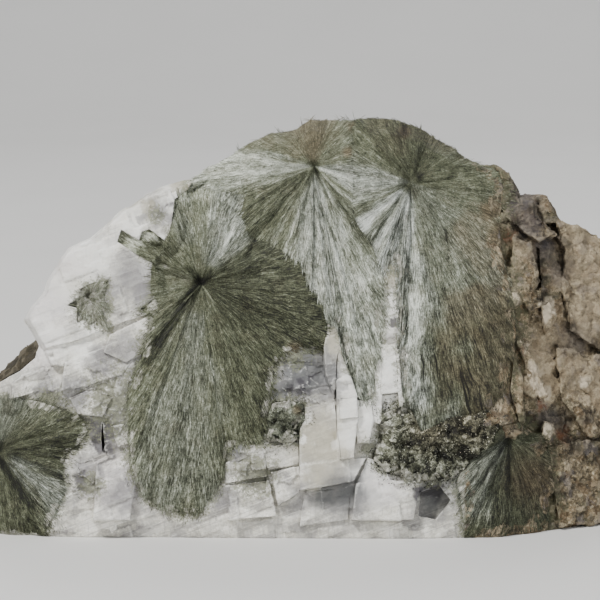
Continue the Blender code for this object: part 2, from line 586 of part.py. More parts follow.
def broken_faces():
    """Big blocks of air whose near sides are the flat breaks of the wall rock."""
    made = []
    for number, (round_from_back, rise, distance) in enumerate(BROKEN_FACES):
        turn, lift = math.radians(round_from_back), math.radians(rise)
        out = Vector(
            (math.sin(turn) * math.cos(lift), math.cos(turn) * math.cos(lift), math.sin(lift))
        )
        bm = bmesh.new()
        bmesh.ops.create_cube(bm, size=AIR_BLOCK)
        facing = out.to_track_quat("X", "Z").to_matrix()
        bmesh.ops.rotate(bm, cent=(0, 0, 0), matrix=facing, verts=bm.verts)
        middle = place(*WALL_HEART) + out * (distance * MM + AIR_BLOCK / 2)
        bmesh.ops.translate(bm, vec=middle, verts=bm.verts)
        made.append(as_helper(finished(f"broken_face_{number}", bm)))
    return made


def ground_cutter():
    """What lies under the base, which is broken flat."""
    bm = bmesh.new()
    bmesh.ops.create_cube(bm, size=AIR_BLOCK)
    bmesh.ops.translate(bm, vec=Vector((0, 0, -AIR_BLOCK / 2)), verts=bm.verts)
    return as_helper(finished("ground", bm))


def cleared(target, *rooms):
    """Takes the room of its neighbours out of a body."""
    boolean(target, "DIFFERENCE", group(target.name + "_neighbours", rooms))


def build():
    for old in list(bpy.data.objects):
        bpy.data.objects.remove(old, do_unlink=True)

    left, left_room = grow_spray(
        "hedenbergite_spray_left", LEFT_CENTRE, LEFT_OUTLINE, 3, OLIVE, SPRAY_PROUD, 5
    )
    middle, middle_room = grow_spray(
        "hedenbergite_spray_middle", MIDDLE_CENTRE, MIDDLE_OUTLINE, 5, SILVER_GREEN, SPRAY_PROUD, 5
    )
    right, right_room = grow_spray(
        "hedenbergite_spray_right", RIGHT_CENTRE, RIGHT_OUTLINE, 8, SILVER_GREEN, SPRAY_PROUD, 5
    )
    low_left, low_left_room = grow_spray(
        "hedenbergite_spray_lower_left", LOWER_LEFT_CENTRE, LOWER_LEFT_OUTLINE, 13, OLIVE,
        SPRAY_PROUD, 4
    )
    low_right, low_right_room = grow_spray(
        "hedenbergite_spray_lower_right", LOWER_RIGHT_CENTRE, LOWER_RIGHT_OUTLINE, 21, OLIVE,
        SPRAY_PROUD, 4
    )
    tuft, tuft_room = grow_spray(
        "hedenbergite_tuft", TUFT_CENTRE, TUFT_OUTLINE, 34, OLIVE, TUFT_PROUD, 3
    )
    crust, crust_room = grow_crust(
        "dark_crust", CRUST_CENTRE, CRUST_OUTLINE, 4, DARK_CRUST, CRUST_PROUD
    )
    patch, patch_room = grow_crust(
        "green_patch", PATCH_CENTRE, PATCH_OUTLINE, 6, OLIVE, PATCH_PROUD
    )
    rooms = [
        left_room, middle_room, right_room, low_left_room, low_right_room, tuft_room,
        crust_room, patch_room,
    ]

    # The vein, with its cleavage blocks and clefts
    rim = walk(VEIN_OUTLINE, VEIN_STEP)
    vein = body("calcite_vein", VEIN_MIDDLE, rim, VEIN_FRONT_RINGS, VEIN_BACK_RINGS, face_depth)
    vein.data.materials.append(material("calcite", CALCITE_WHITE))
    boolean(vein, "UNION", group("cleavage_blocks", standing_blocks("block", CLEAVAGE_BLOCKS)))
    boolean(vein, "DIFFERENCE", group("clefts", sunk_clefts("cleft", CLEFTS)))

    # The room that the vein takes out of the wall, open towards the eye
    room_back = [(share, depth + VEIN_GAP) for share, depth in VEIN_BACK_RINGS]
    vein_room = body(
        "vein_room", VEIN_MIDDLE, grown(rim, VEIN_GAP), (0.5, 1.0), room_back,
        lambda u, v: face_depth(u, v) - CUT_REACH,
    )

    # The wall, with its ledges, crevices and broken faces
    wall = body(
        "skarn_wall", ROCK_MIDDLE, walk(WALL_OUTLINE, WALL_STEP), WALL_FRONT_RINGS,
        WALL_BACK_RINGS, wall_depth, WALL_BACK_LUMPS,
    )
    wall.data.materials.append(material("skarn", SKARN_BROWN))
    boolean(wall, "UNION", group("ledges", standing_blocks("ledge", LEDGES)))
    boolean(wall, "DIFFERENCE", group("crevices", sunk_clefts("crevice", CREVICES)))
    boolean(wall, "DIFFERENCE", group("breaks", broken_faces()))

    # Where pieces meet, the one behind or beside gives way
    cleared(vein, *rooms)
    cleared(wall, as_helper(vein_room), *rooms)
    cleared(middle, left_room)
    cleared(right, middle_room)
    cleared(crust, right_room, low_right_room)
    cleared(patch, left_room)
    ground = group("ground", [ground_cutter()])
    for made in (vein, wall, low_left, low_right):
        boolean(made, "DIFFERENCE", ground)


build()
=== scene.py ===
"""The looks of a hedenbergite specimen: needle sprays on calcite against brown skarn."""

import math

import bmesh
import bpy
import numpy as np
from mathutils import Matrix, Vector, noise
from mathutils.bvhtree import BVHTree
from mathutils.kdtree import KDTree


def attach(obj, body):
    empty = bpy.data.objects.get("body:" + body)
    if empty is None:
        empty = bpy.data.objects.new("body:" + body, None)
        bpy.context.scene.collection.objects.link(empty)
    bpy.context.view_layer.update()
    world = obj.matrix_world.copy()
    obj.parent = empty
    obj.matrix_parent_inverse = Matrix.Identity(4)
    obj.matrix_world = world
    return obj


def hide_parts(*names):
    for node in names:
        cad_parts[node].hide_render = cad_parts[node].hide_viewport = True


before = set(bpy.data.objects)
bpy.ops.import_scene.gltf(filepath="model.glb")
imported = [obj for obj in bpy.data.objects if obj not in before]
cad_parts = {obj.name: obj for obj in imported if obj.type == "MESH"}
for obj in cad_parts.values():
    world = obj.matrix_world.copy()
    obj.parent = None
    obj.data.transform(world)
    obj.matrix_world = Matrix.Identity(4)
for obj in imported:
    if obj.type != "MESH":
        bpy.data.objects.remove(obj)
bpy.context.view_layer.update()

# Skarn wall
# Brown wall rock of fine garnet, pyroxene and feldspar, cemented to the back and right side
# of the vein. It broke from the outcrop in lumps, ledges and chips, and nothing smoothed it.

MM = 0.001

# The eye looks at an upright sheet from this far off and this steeply down. A place on the
# rock is u to the right and v up the sheet, and w behind it, all in millimetres.
EYE_DISTANCE = 600.0
EYE_HEIGHT = 48.0
EYE_TILT = math.radians(8.0)
SHEET_RIGHT = 0.8
SHEET_BACK = 24.2


def place(u, v, w):
    """Points of the world, in metres, from places on the sheet."""
    u, v, w = (np.asarray(value, float) for value in (u, v, w))
    spread = 1 + w / EYE_DISTANCE
    rise = (v - EYE_HEIGHT) * spread
    x = u * spread - SHEET_RIGHT
    y = w * math.cos(EYE_TILT) + rise * math.sin(EYE_TILT) - SHEET_BACK
    z = (EYE_HEIGHT + rise) * math.cos(EYE_TILT) - w * math.sin(EYE_TILT)
    return np.stack((x, y, z), -1) * MM


def sheet(points):
    """Places on the sheet from points of the world."""
    x, y, z = (np.asarray(points, float) / MM).T
    back = y + SHEET_BACK
    up = z - EYE_HEIGHT * math.cos(EYE_TILT)
    w = back * math.cos(EYE_TILT) - up * math.sin(EYE_TILT)
    rise = back * math.sin(EYE_TILT) + up * math.cos(EYE_TILT)
    spread = 1 + w / EYE_DISTANCE
    return (x + SHEET_RIGHT) / spread, EYE_HEIGHT + rise / spread, w


WELD = 1e-6
TOUCHING = 1.3 * MM


def solid_of(node):
    """The points and triangles of a solid of the record."""
    bm = bmesh.new()
    bm.from_mesh(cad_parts[node].data)
    bmesh.ops.remove_doubles(bm, verts=bm.verts, dist=WELD)
    bmesh.ops.triangulate(bm, faces=bm.faces)
    bm.verts.index_update()
    points = np.array([vert.co for vert in bm.verts])
    triangles = np.array([[vert.index for vert in face.verts] for face in bm.faces])
    bm.free()
    return points, triangles


def tree_of(nodes):
    """A search tree of the named solids."""
    points, triangles = [], []
    for node in nodes:
        more_points, more_triangles = solid_of(node)
        triangles += (more_triangles + len(points)).tolist()
        points += more_points.tolist()
    return BVHTree.FromPolygons(points, triangles)


def unit(vectors):
    return vectors / np.maximum(np.linalg.norm(vectors, axis=1), 1e-12)[:, None]


def facings(points, triangles):
    """Normals of the triangles, as long as twice their areas."""
    a, b, c = (points[triangles[:, i]] for i in range(3))
    return np.cross(b - a, c - a)


def sides_of(triangles):
    """The edges as pairs of points, and the three edges of each triangle."""
    pairs = np.sort(triangles[:, [0, 1, 1, 2, 2, 0]].reshape(-1, 2), 1)
    edges, sides = np.unique(pairs, axis=0, return_inverse=True)
    return edges, sides.reshape(-1, 3)


def cut_fine(node, longest):
    """A solid's points and triangles, and which are open; open edges are under longest mm."""
    points, triangles = solid_of(node)
    middles = points[triangles].mean(1)
    outward = unit(facings(points, triangles))
    others = tree_of([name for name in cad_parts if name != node])
    hits = [
        others.ray_cast(Vector(m + 0.02 * MM * n), Vector(n), TOUCHING)[0]
        for m, n in zip(middles, outward)
    ]
    is_open = np.array([hit is None for hit in hits]) & (middles[:, 2] > 0.1 * MM)
    while True:
        edges, sides = sides_of(triangles)
        ends = points[edges]
        halfway = ends.mean(1)
        lengths = np.linalg.norm(ends[:, 0] - ends[:, 1], axis=1)
        too_long = lengths > longest(halfway) * MM
        widest = sides[np.arange(len(sides)), lengths[sides].argmax(1)]
        split = np.zeros(len(edges), bool)
        split[widest[is_open & too_long[widest]]] = True
        if not split.any():
            return points, triangles, is_open
        added = np.cumsum(split) - 1 + len(points)
        points = np.concatenate((points, halfway[split]))
        triangles, is_open = divide(points, triangles, is_open, split[sides], added[sides])


def divide(points, triangles, is_open, split, added):
    """Each triangle in two, three or four, by how many of its sides are split."""
    count = split.sum(1)
    first = np.where(
        count == 1, split.argmax(1), np.where(count == 2, ((~split).argmax(1) + 1) % 3, 0)
    )
    order = (first[:, None] + np.arange(3)) % 3
    a, b, c = np.take_along_axis(triangles, order, 1).T
    ab, bc, ca = np.take_along_axis(added, order, 1).T
    near_side = np.linalg.norm(points[a] - points[np.where(count > 1, bc, 0)], axis=1)
    far_side = np.linalg.norm(points[c] - points[np.where(count > 0, ab, 0)], axis=1)
    short = near_side < far_side
    patterns = [
        (count == 0, ((a, b, c),)),
        (count == 1, ((a, ab, c), (ab, b, c))),
        ((count == 2) & short, ((ab, b, bc), (a, ab, bc), (a, bc, c))),
        ((count == 2) & ~short, ((ab, b, bc), (a, ab, c), (ab, bc, c))),
        (count == 3, ((a, ab, ca), (ab, b, bc), (ca, bc, c), (ab, bc, ca))),
    ]
    made, flags = [], []
    for chosen, pattern in patterns:
        for corners in pattern:
            made.append(np.stack(corners, 1)[chosen])
            flags.append(is_open[chosen])
    return np.concatenate(made), np.concatenate(flags)


def point_normals(points, triangles):
    away = facings(points, triangles)
    normals = np.zeros_like(points)
    for corner in range(3):
        np.add.at(normals, triangles[:, corner], away)
    return unit(normals)


def roughen(points, triangles, is_open, relief):
    """The points moved along their normals by relief(points in mm, normals) in mm."""
    normals = point_normals(points, triangles)
    closed = np.zeros(len(points), bool)
    closed[triangles[~is_open].ravel()] = True
    moves = np.where(closed, 0.0, relief(points / MM, normals))
    moved = points + normals * moves[:, None] * MM
    moved[:, 2] = np.maximum(moved[:, 2], 0.0)
    return moved


def ridges(points, triangles):
    """How far each point stands out from its neighbours: 1 on a sharp ridge, -1 in a crease."""
    edges, _ = sides_of(triangles)
    normals = point_normals(points, triangles)
    count = np.bincount(edges.ravel(), minlength=len(points))[:, None]

    def averaged(values):
        total = np.zeros_like(values)
        np.add.at(total, edges[:, 0], values[edges[:, 1]])
        np.add.at(total, edges[:, 1], values[edges[:, 0]])
        return total / np.maximum(count, 1)

    out = ((points - averaged(points)) * normals).sum(1) / (0.06 * MM)
    return np.clip(0.5 * out + 0.5 * averaged(out[:, None])[:, 0], -1, 1)


def grain(points, size, detail=3, seed=0.0):
    """Cloudy noise between about -1 and 1, with lumps of the given size in mm."""
    shift = Vector((seed, 0.0, 0.0))
    return np.array([noise.fractal(Vector(p) + shift, 1.0, 2.0, detail) for p in points / size])


def waves(x, y, z):
    """Plain noise at places given by three arrays."""
    spots = np.stack(np.broadcast_arrays(x, y, z), 1)
    return np.array([noise.noise(Vector(spot)) for spot in spots])


def chances(cells, seed, count):
    """Even chances from 0 to 1 that depend only on the whole numbers of each cell."""
    mixed = np.full(len(cells), seed * 2654435761 % 2**32, np.uint64)
    for column, prime in zip(cells.T, (73856093, 19349663, 83492791)):
        mixed ^= (column.astype(np.int64) * prime).astype(np.uint64) & 0xFFFFFFFF
    drawn = []
    for turn in range(count):
        value = (mixed + np.uint64(374761393 * (turn + 1))) & np.uint64(0xFFFFFFFF)
        for shift, prime in ((15, 2246822519), (13, 3266489917), (16, 668265263)):
            value = ((value ^ (value >> np.uint64(shift))) * np.uint64(prime)) & np.uint64(0xFFFFFFFF)
        drawn.append(value.astype(float) / 2**32)
    return np.stack(drawn, 1)


def chips(points, size, seed, lift, tilt):
    """Broken facets of a size in mm: their relief in mm, a chance for each and edge nearness."""
    spots = points / size
    cells = np.floor(spots).astype(int)
    best = np.full(len(points), 9.0)
    second = best.copy()
    relief, chance = np.zeros(len(points)), np.zeros(len(points))
    for shift in np.ndindex(3, 3, 3):
        drawn = chances(cells + np.array(shift) - 1, seed, 7)
        away = spots - (cells + np.array(shift) - 1 + drawn[:, :3])
        distance = np.linalg.norm(away, axis=1)
        nearer = distance < best
        second = np.where(nearer, best, np.minimum(second, distance))
        slope = (away * (drawn[:, 3:6] - 0.5)).sum(1) * 2 * tilt * size
        relief = np.where(nearer, (drawn[:, 6] - 0.5) * 2 * lift + slope, relief)
        chance = np.where(nearer, drawn[:, 6], chance)
        best = np.where(nearer, distance, best)
    return relief, chance, second - best


def make_piece(name, points, triangles, marks, paint, replaced):
    """A piece of the object, with a value per point for each mark, standing for its solid."""
    mesh = bpy.data.meshes.new(name)
    mesh.vertices.add(len(points))
    mesh.vertices.foreach_set("co", points.astype(np.float32).ravel())
    mesh.loops.add(triangles.size)
    mesh.loops.foreach_set("vertex_index", triangles.astype(np.int32).ravel())
    mesh.polygons.add(len(triangles))
    mesh.polygons.foreach_set("loop_start", np.arange(0, triangles.size, 3, dtype=np.int32))
    mesh.update(calc_edges=True)
    for mark, values in marks.items():
        layer = mesh.attributes.new(mark, "FLOAT", "POINT")
        layer.data.foreach_set("value", np.asarray(values, np.float32))
    mesh.materials.append(paint.material)
    piece = bpy.data.objects.new(name, mesh)
    bpy.context.scene.collection.objects.link(piece)
    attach(piece, "root")
    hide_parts(replaced)
    return piece


class Wire:
    """A value in a shader, which takes part in sums as a number does."""

    def __init__(self, paint, socket):
        self.paint = paint
        self.socket = socket

    def sum_of(self, operation, first, second):
        return self.paint.node("ShaderNodeMath", {"operation": operation}, {0: first, 1: second})

    def __add__(self, other):
        return self.sum_of("ADD", self, other)

    __radd__ = __add__

    def __mul__(self, other):
        return self.sum_of("MULTIPLY", self, other)

    __rmul__ = __mul__

    def __sub__(self, other):
        return self.sum_of("SUBTRACT", self, other)

    def __rsub__(self, other):
        return self.sum_of("SUBTRACT", other, self)

    def __truediv__(self, other):
        return self.sum_of("DIVIDE", self, other)

    def __rtruediv__(self, other):
        return self.sum_of("DIVIDE", other, self)

    def rise(self, low, high):
        """0 below low, 1 above high and smooth between."""
        values = {"Value": self, "From Min": low, "From Max": high}
        return self.paint.node("ShaderNodeMapRange", {"interpolation_type": "SMOOTHSTEP"}, values)


class Paint:
    """A Principled material that is wired up by calls."""

    def __init__(self, name):
        self.material = bpy.data.materials.new(name)
        self.material.use_nodes = True
        self.tree = self.material.node_tree
        self.shader = self.tree.nodes["Principled BSDF"]
        coordinates = self.node("ShaderNodeTexCoord", output="Object")
        self.where = self.node(
            "ShaderNodeVectorMath", {"operation": "SCALE"}, {0: coordinates, "Scale": 1 / MM}
        )

    def node(self, kind, settings=None, values=None, output=0):
        made = self.tree.nodes.new(kind)
        for key, value in (settings or {}).items():
            setattr(made, key, value)
        for key, value in (values or {}).items():
            self.put(made.inputs[key], value)
        return Wire(self, made.outputs[output])

    def put(self, socket, value):
        if isinstance(value, Wire):
            self.tree.links.new(value.socket, socket)
        else:
            socket.default_value = value

    def set(self, **values):
        """Sets or links the shader's own sockets."""
        for name, value in values.items():
            self.put(self.shader.inputs[name.replace("_", " ")], value)

    def cloud(self, size, detail=3.0, rough=0.55, where=None):
        """Noise from 0 to 1 with lumps of the given size in mm."""
        place = where or self.where
        values = {"Vector": place, "Scale": 1 / size, "Detail": detail, "Roughness": rough}
        return self.node("ShaderNodeTexNoise", {"noise_dimensions": "3D"}, values)

    def facets(self, size, where=None):
        """One chance from 0 to 1 for each angular facet of the given size in mm."""
        values = {"Vector": where or self.where, "Scale": 1 / size}
        cells = self.node("ShaderNodeTexVoronoi", {"distance": "CHEBYCHEV"}, values, "Color")
        return self.node("ShaderNodeSeparateColor", None, {0: cells})

    def turned(self, rise, size):
        """The place in mm, turned to the slope of the cleavage and squeezed to size."""
        values = {"Vector": self.where, "Rotation": (0.0, -rise, 0.0), "Scale": size}
        return self.node("ShaderNodeMapping", {"vector_type": "TEXTURE"}, values)

    def mark(self, name):
        return self.node("ShaderNodeAttribute", {"attribute_name": name}, output="Fac")

    def blend(self, share, low, high):
        """The colour low where share is 0 and high where it is 1."""
        return self.node("ShaderNodeMix", {"data_type": "RGBA"}, {0: share, 6: low, 7: high}, 2)

    def ramp(self, value, *stops):
        """A run of colours: each stop is a position and a colour."""
        made = self.node("ShaderNodeValToRGB", None, {0: value})
        band = made.socket.node.color_ramp
        while len(band.elements) < len(stops):
            band.elements.new(0.5)
        for element, (position, shown) in zip(band.elements, stops):
            element.position = position
            element.color = shown
        return made

    def bump(self, height, depth, strength=1.0):
        """Fine relief of a depth in mm."""
        values = {"Height": height, "Distance": depth * MM, "Strength": strength}
        self.put(self.shader.inputs["Normal"], self.node("ShaderNodeBump", None, values))


def colour(red, green, blue):
    """A colour given as the eye would mix it, from 0 to 255."""
    return (*((value / 255) ** 2.2 for value in (red, green, blue)), 1.0)


def near(u, v, spots, soft=0.35):
    """1 inside any of the round spots (u, v, radius), falling to 0 past its edge."""
    marked = np.zeros(len(u))
    for spot_u, spot_v, radius in spots:
        distance = np.hypot(u - spot_u, v - spot_v) / radius
        marked = np.maximum(marked, np.clip((1 + soft - distance) / (2 * soft), 0, 1))
    return marked


def skarn_look(paint):
    """Colour and fine relief of the wall rock."""
    broad = paint.cloud(4.0, 3.0, 0.6).rise(0.3, 0.7)
    mottle = paint.cloud(1.7, 4.0, 0.7).rise(0.28, 0.72)
    speck = paint.cloud(0.55, 3.0, 0.7).rise(0.28, 0.72)
    drift = paint.node(
        "ShaderNodeTexNoise", None, {"Vector": paint.where, "Scale": 0.8, "Detail": 4.0}, "Color"
    )
    broken = paint.node(
        "ShaderNodeVectorMath", {"operation": "MULTIPLY_ADD"}, {0: drift, 1: (3.0, 3.0, 3.0), 2: paint.where}
    )
    lump = paint.facets(1.0, broken)
    grit = paint.cloud(0.3, 2.0, 0.7)
    rock = paint.ramp(
        broad * 0.22 + mottle * 0.32 + lump * 0.16 + speck * 0.30,
        (0.2, colour(36, 31, 25)), (0.36, colour(80, 71, 53)), (0.5, colour(119, 107, 84)),
        (0.64, colour(156, 142, 114)), (0.84, colour(214, 200, 172)),
    )
    tint = paint.facets(2.1, broken)
    rock = paint.blend((1 - tint).rise(0.82, 0.84) * 0.45, rock, colour(202, 186, 156))
    earthy = tint.rise(0.17, 0.19) * (1 - tint.rise(0.34, 0.36))
    rock = paint.blend(earthy * 0.32, rock, colour(120, 96, 68))
    shady = tint.rise(0.34, 0.36) * (1 - tint.rise(0.50, 0.52))
    rock = paint.blend(shady * 0.45, rock, colour(62, 58, 50))
    hue = paint.cloud(3.2, 3.0, 0.6, paint.turned(0.9, (1.0, 1.0, 1.3)))
    rock = paint.blend(hue.rise(0.55, 0.63) * 0.5, rock, colour(112, 107, 108))
    rock = paint.blend((1 - hue).rise(0.55, 0.63) * 0.35, rock, colour(122, 98, 70))
    rock = paint.blend(tint.rise(0.84, 0.86) * 0.5, rock, colour(84, 84, 64))
    rock = paint.blend(grit.rise(0.62, 0.72) * 0.5, rock, colour(222, 210, 190))
    rock = paint.blend((1 - grit).rise(0.61, 0.70) * 0.7, rock, colour(30, 26, 22))
    return rock, speck * 0.55 + grit * 0.25 + mottle * 0.2


SKARN_FINE = 0.57
SKARN_COARSE = 1.35
SKARN_SHOWN_FROM = 37.0
SKARN_SHOWN_TO = 64.0


def skarn_cut(points):
    u, v, w = sheet(points)
    shown = (SKARN_SHOWN_FROM < u) & (u < SKARN_SHOWN_TO) & (w < 34)
    return np.where(shown, SKARN_FINE, SKARN_COARSE)


skarn_chance = {}


def skarn_relief(points, normals):
    large, large_chance, _ = chips(points, 8.0, 3, 0.10, 0.06)
    middle, middle_chance, _ = chips(points + 3.0, 2.6, 5, 0.08, 0.15)
    small, _, _ = chips(points, 1.3, 7, 0.09, 0.20)
    skarn_chance["chip"] = 0.35 * large_chance + 0.65 * middle_chance
    return large + middle + small + 0.40 * grain(points, 2.6, 5)


skarn = Paint("skarn")
rock, rock_height = skarn_look(skarn)
rock = skarn.blend(skarn.mark("chip").rise(0.4, 1.0) * 0.2, rock, colour(168, 154, 128))
rock = skarn.blend(skarn.mark("lavender") * 0.75, rock, colour(80, 76, 77))
rock = skarn.blend(skarn.mark("beige") * 0.55, rock, colour(172, 156, 130))
rock = skarn.blend(skarn.mark("cream") * 0.85, rock, colour(206, 192, 168))
rock = skarn.blend(skarn.mark("rust") * 0.7, rock, colour(120, 76, 52))
rock = skarn.blend(skarn.mark("dark") * 0.75, rock, colour(46, 41, 35))
olive = (skarn.mark("moss") * 1.2 + skarn.cloud(0.9, 5.0, 0.75).rise(0.3, 0.7) - 1.0).rise(-0.1, 0.35)
rock = skarn.blend(olive * 0.8, rock, colour(92, 92, 70))
rock = skarn.blend(skarn.mark("olive") * 0.9, rock, colour(50, 47, 37))
# Painted shade: the wall rock is darkened in its creases, where the ridge mark falls below zero.
crease = (0 - skarn.mark("ridge")).rise(0.2, 1.0)
rock = skarn.blend(crease * 0.25, rock, colour(44, 39, 32))
rock = skarn.blend(skarn.mark("ridge").rise(0.3, 1.0) * 0.15, rock, colour(196, 184, 160))
skarn.set(Base_Color=rock, Roughness=0.6 + rock_height * 0.35, Specular_IOR_Level=0.35)
skarn.bump(rock_height, 0.35, 1.0)

LAVENDER_SPOTS = [
    (43.5, 68.0, 4.6), (45.6, 63.0, 3.2), (49.0, 58.0, 3.0), (52.0, 54.0, 2.6), (50.0, 24.0, 2.6),
    (44.0, 72.5, 3.0), (55.0, 40.0, 3.0),
]
BEIGE_SPOTS = [
    (60.0, 55.0, 8.0), (55.6, 61.0, 4.0), (43.0, 57.0, 3.0), (58.0, 45.0, 5.0), (50.0, 38.0, 5.0),
    (48.0, 32.0, 4.0), (56.0, 33.0, 4.0), (60.0, 30.0, 3.0),
]
CREAM_SPOTS = [
    (42.8, 48.4, 1.2), (49.6, 47.0, 1.3), (48.8, 44.4, 1.2), (50.4, 45.6, 1.0), (57.0, 31.4, 1.2),
    (49.6, 22.0, 1.1), (44.6, 38.6, 1.3), (46.4, 33.8, 1.5), (48.4, 29.6, 1.4), (47.0, 31.4, 1.2),
]
RUST_SPOTS = [(43.8, 38.0, 0.9), (48.2, 27.0, 0.8), (48.2, 11.6, 0.9), (52.6, 21.0, 1.4), (41.0, 61.0, 1.6)]
DARK_SPOTS = [
    (47.6, 55.4, 1.2), (48.2, 52.0, 1.2), (48.9, 49.0, 1.0), (41.8, 44.0, 1.6), (54.4, 42.0, 1.4),
    (53.0, 24.0, 2.0), (42.0, 34.0, 1.6), (59.0, 39.0, 1.3), (46.0, 24.0, 1.6), (44.4, 60.4, 1.0),
    (57.6, 24.6, 1.6), (50.4, 16.0, 1.6), (61.0, 17.0, 2.4), (43.0, 15.0, 2.0), (47.4, 66.4, 1.4),
    (43.6, 63.6, 1.2), (51.0, 66.6, 1.2), (53.0, 60.0, 1.2), (55.0, 19.0, 2.0), (50.0, 11.0, 2.6),
]

growths = [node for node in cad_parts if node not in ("calcite_vein", "skarn_wall")]
growth_tree = tree_of(growths)


def far_from_growth(points):
    """How far the points are from any hedenbergite, in mm."""
    return np.array([growth_tree.find_nearest(Vector(point))[3] for point in points]) / MM


wall_points, wall_triangles, wall_open = cut_fine("skarn_wall", skarn_cut)
wall_points = roughen(wall_points, wall_triangles, wall_open, skarn_relief)
wall_u, wall_v, wall_w = sheet(wall_points)
front = (wall_w < 34).astype(float)
wall_u = wall_u + 1.1 * grain(wall_points / MM, 1.8, 4, 40.0)
wall_v = wall_v + 1.1 * grain(wall_points / MM, 1.8, 4, 44.0)
make_piece(
    "skarn_wall_rock", wall_points, wall_triangles,
    {
        "chip": skarn_chance["chip"],
        "ridge": ridges(wall_points, wall_triangles),
        "lavender": near(wall_u, wall_v, LAVENDER_SPOTS, 0.5) * front,
        "beige": near(wall_u, wall_v, BEIGE_SPOTS, 0.5) * front,
        "cream": near(wall_u, wall_v, CREAM_SPOTS, 0.15) * front,
        "moss": 0.9 * np.clip(1 - far_from_growth(wall_points) / 5.0, 0, 1) * front,
        "rust": near(wall_u, wall_v, RUST_SPOTS, 0.4) * front,
        "dark": near(wall_u, wall_v, DARK_SPOTS, 0.5) * front,
        "olive": near(wall_u, wall_v, [(-56.0, 35.5, 9.0)], 0.4) * (wall_u < 0),
    },
    skarn, "skarn_wall",
)

# Calcite vein
# White and grey calcite that filled the fissure. It splits along three slanting planes, so
# its broken face is a stair of small rhombs, clear in some places and milky in others.

CALCITE_FINE = 0.5
LEFT_CLEAVAGE = math.radians(21.0)
RIGHT_CLEAVAGE = math.radians(7.0)
CLEAVAGE_TURNS_AT = -14.0


def calcite_look(paint):
    """Colour and fine relief of the calcite."""
    veil = paint.cloud(5.0, 4.0, 0.6).rise(0.25, 0.75)
    plates = paint.facets(1.0, paint.turned(LEFT_CLEAVAGE, (6.5, 4.0, 3.4)))
    splinters = paint.facets(1.0, paint.turned(LEFT_CLEAVAGE, (1.9, 1.2, 0.8)))
    frost = paint.cloud(0.5, 3.0, 0.65).rise(0.25, 0.75)
    milk = paint.ramp(
        veil * 0.34 + plates * 0.3 + splinters * 0.14 + frost * 0.22,
        (0.16, colour(136, 133, 128)), (0.36, colour(184, 181, 171)), (0.56, colour(222, 219, 207)),
        (0.76, colour(255, 252, 243)),
    )
    milk = paint.blend((1 - veil).rise(0.45, 0.9) * 0.4, milk, colour(160, 157, 158))
    layers = paint.cloud(1.0, 3.0, 0.6, paint.turned(LEFT_CLEAVAGE, (11.0, 6.0, 0.42)))
    splits = paint.cloud(1.0, 3.0, 0.6, paint.turned(LEFT_CLEAVAGE + math.radians(68), (5.0, 5.0, 0.5)))
    milk = paint.blend(layers.rise(0.56, 0.64) * 0.5, milk, colour(247, 245, 236))
    milk = paint.blend((1 - layers).rise(0.56, 0.64) * 0.4, milk, colour(146, 144, 140))
    milk = paint.blend((1 - splits).rise(0.58, 0.66) * 0.3, milk, colour(150, 148, 145))
    return milk, plates * 0.3 + splinters * 0.3 + frost * 0.2 + layers * 0.3


def rhombs(u, v, long, tall, seed):
    """Slanting cells of the cleavage: their middles, place within them and chances."""
    rise = np.where(u < CLEAVAGE_TURNS_AT, LEFT_CLEAVAGE, RIGHT_CLEAVAGE)
    along = (u * np.cos(rise) + v * np.sin(rise)) / long
    across = (v * np.cos(rise) - u * np.sin(rise)) / tall
    row = np.floor(across)
    shift = chances(np.stack((row, row), 1).astype(int), seed, 1)[:, 0]
    column = np.floor(along + shift)
    middle_along = (column - shift + 0.5) * long
    middle_across = (row + 0.5) * tall
    middle_u = middle_along * np.cos(rise) - middle_across * np.sin(rise)
    middle_v = middle_along * np.sin(rise) + middle_across * np.cos(rise)
    drawn = chances(np.stack((row, column), 1).astype(int), seed + 1, 4)
    within = along + shift - column - 0.5, across - row - 0.5
    return middle_u, middle_v, within, drawn


BROKEN_ZONES = [
    (-40.0, 31.0, 7.0), (-49.0, 34.0, 5.0), (-33.0, 24.0, 6.0), (-43.0, 14.0, 7.0), (-12.0, 15.0, 7.0),
    (-2.0, 33.0, 5.0), (3.0, 32.0, 5.0), (18.0, 12.0, 4.0), (-3.0, 9.0, 5.0), (36.0, 12.0, 6.0),
    (-54.0, 34.0, 4.0), (-26.0, 66.0, 3.0), (-30.0, 68.0, 2.0),
]


def calcite_relief(points, normals):
    u, v, w = sheet(points * MM)
    broken = near(u, v, BROKEN_ZONES, 0.4)
    relief = np.zeros(len(points))
    for long, tall, seed, lift, tilt in ((8.5, 5.0, 11, 0.22, 0.05), (3.1, 1.9, 13, 0.09, 0.05)):
        middle_u, middle_v, within, drawn = rhombs(u, v, long, tall, seed)
        slope = within[0] * long * (drawn[:, 1] - 0.5) + within[1] * tall * (drawn[:, 2] - 0.5)
        relief += (drawn[:, 0] - 0.5) * 2 * lift + 2 * tilt * slope
    rubble, _, _ = chips(points, 3.0, 17, 0.16, 0.16)
    relief = relief + broken * (rubble + 0.3 * grain(points, 2.4, 4)) + 0.05 * grain(points, 1.6, 3)
    beside = np.clip((far_from_growth(points * MM) - 0.5) / 1.5, 0.0, 1.0)
    return relief * np.where(normals[:, 1] < -0.3, 1.0, 0.4) * beside


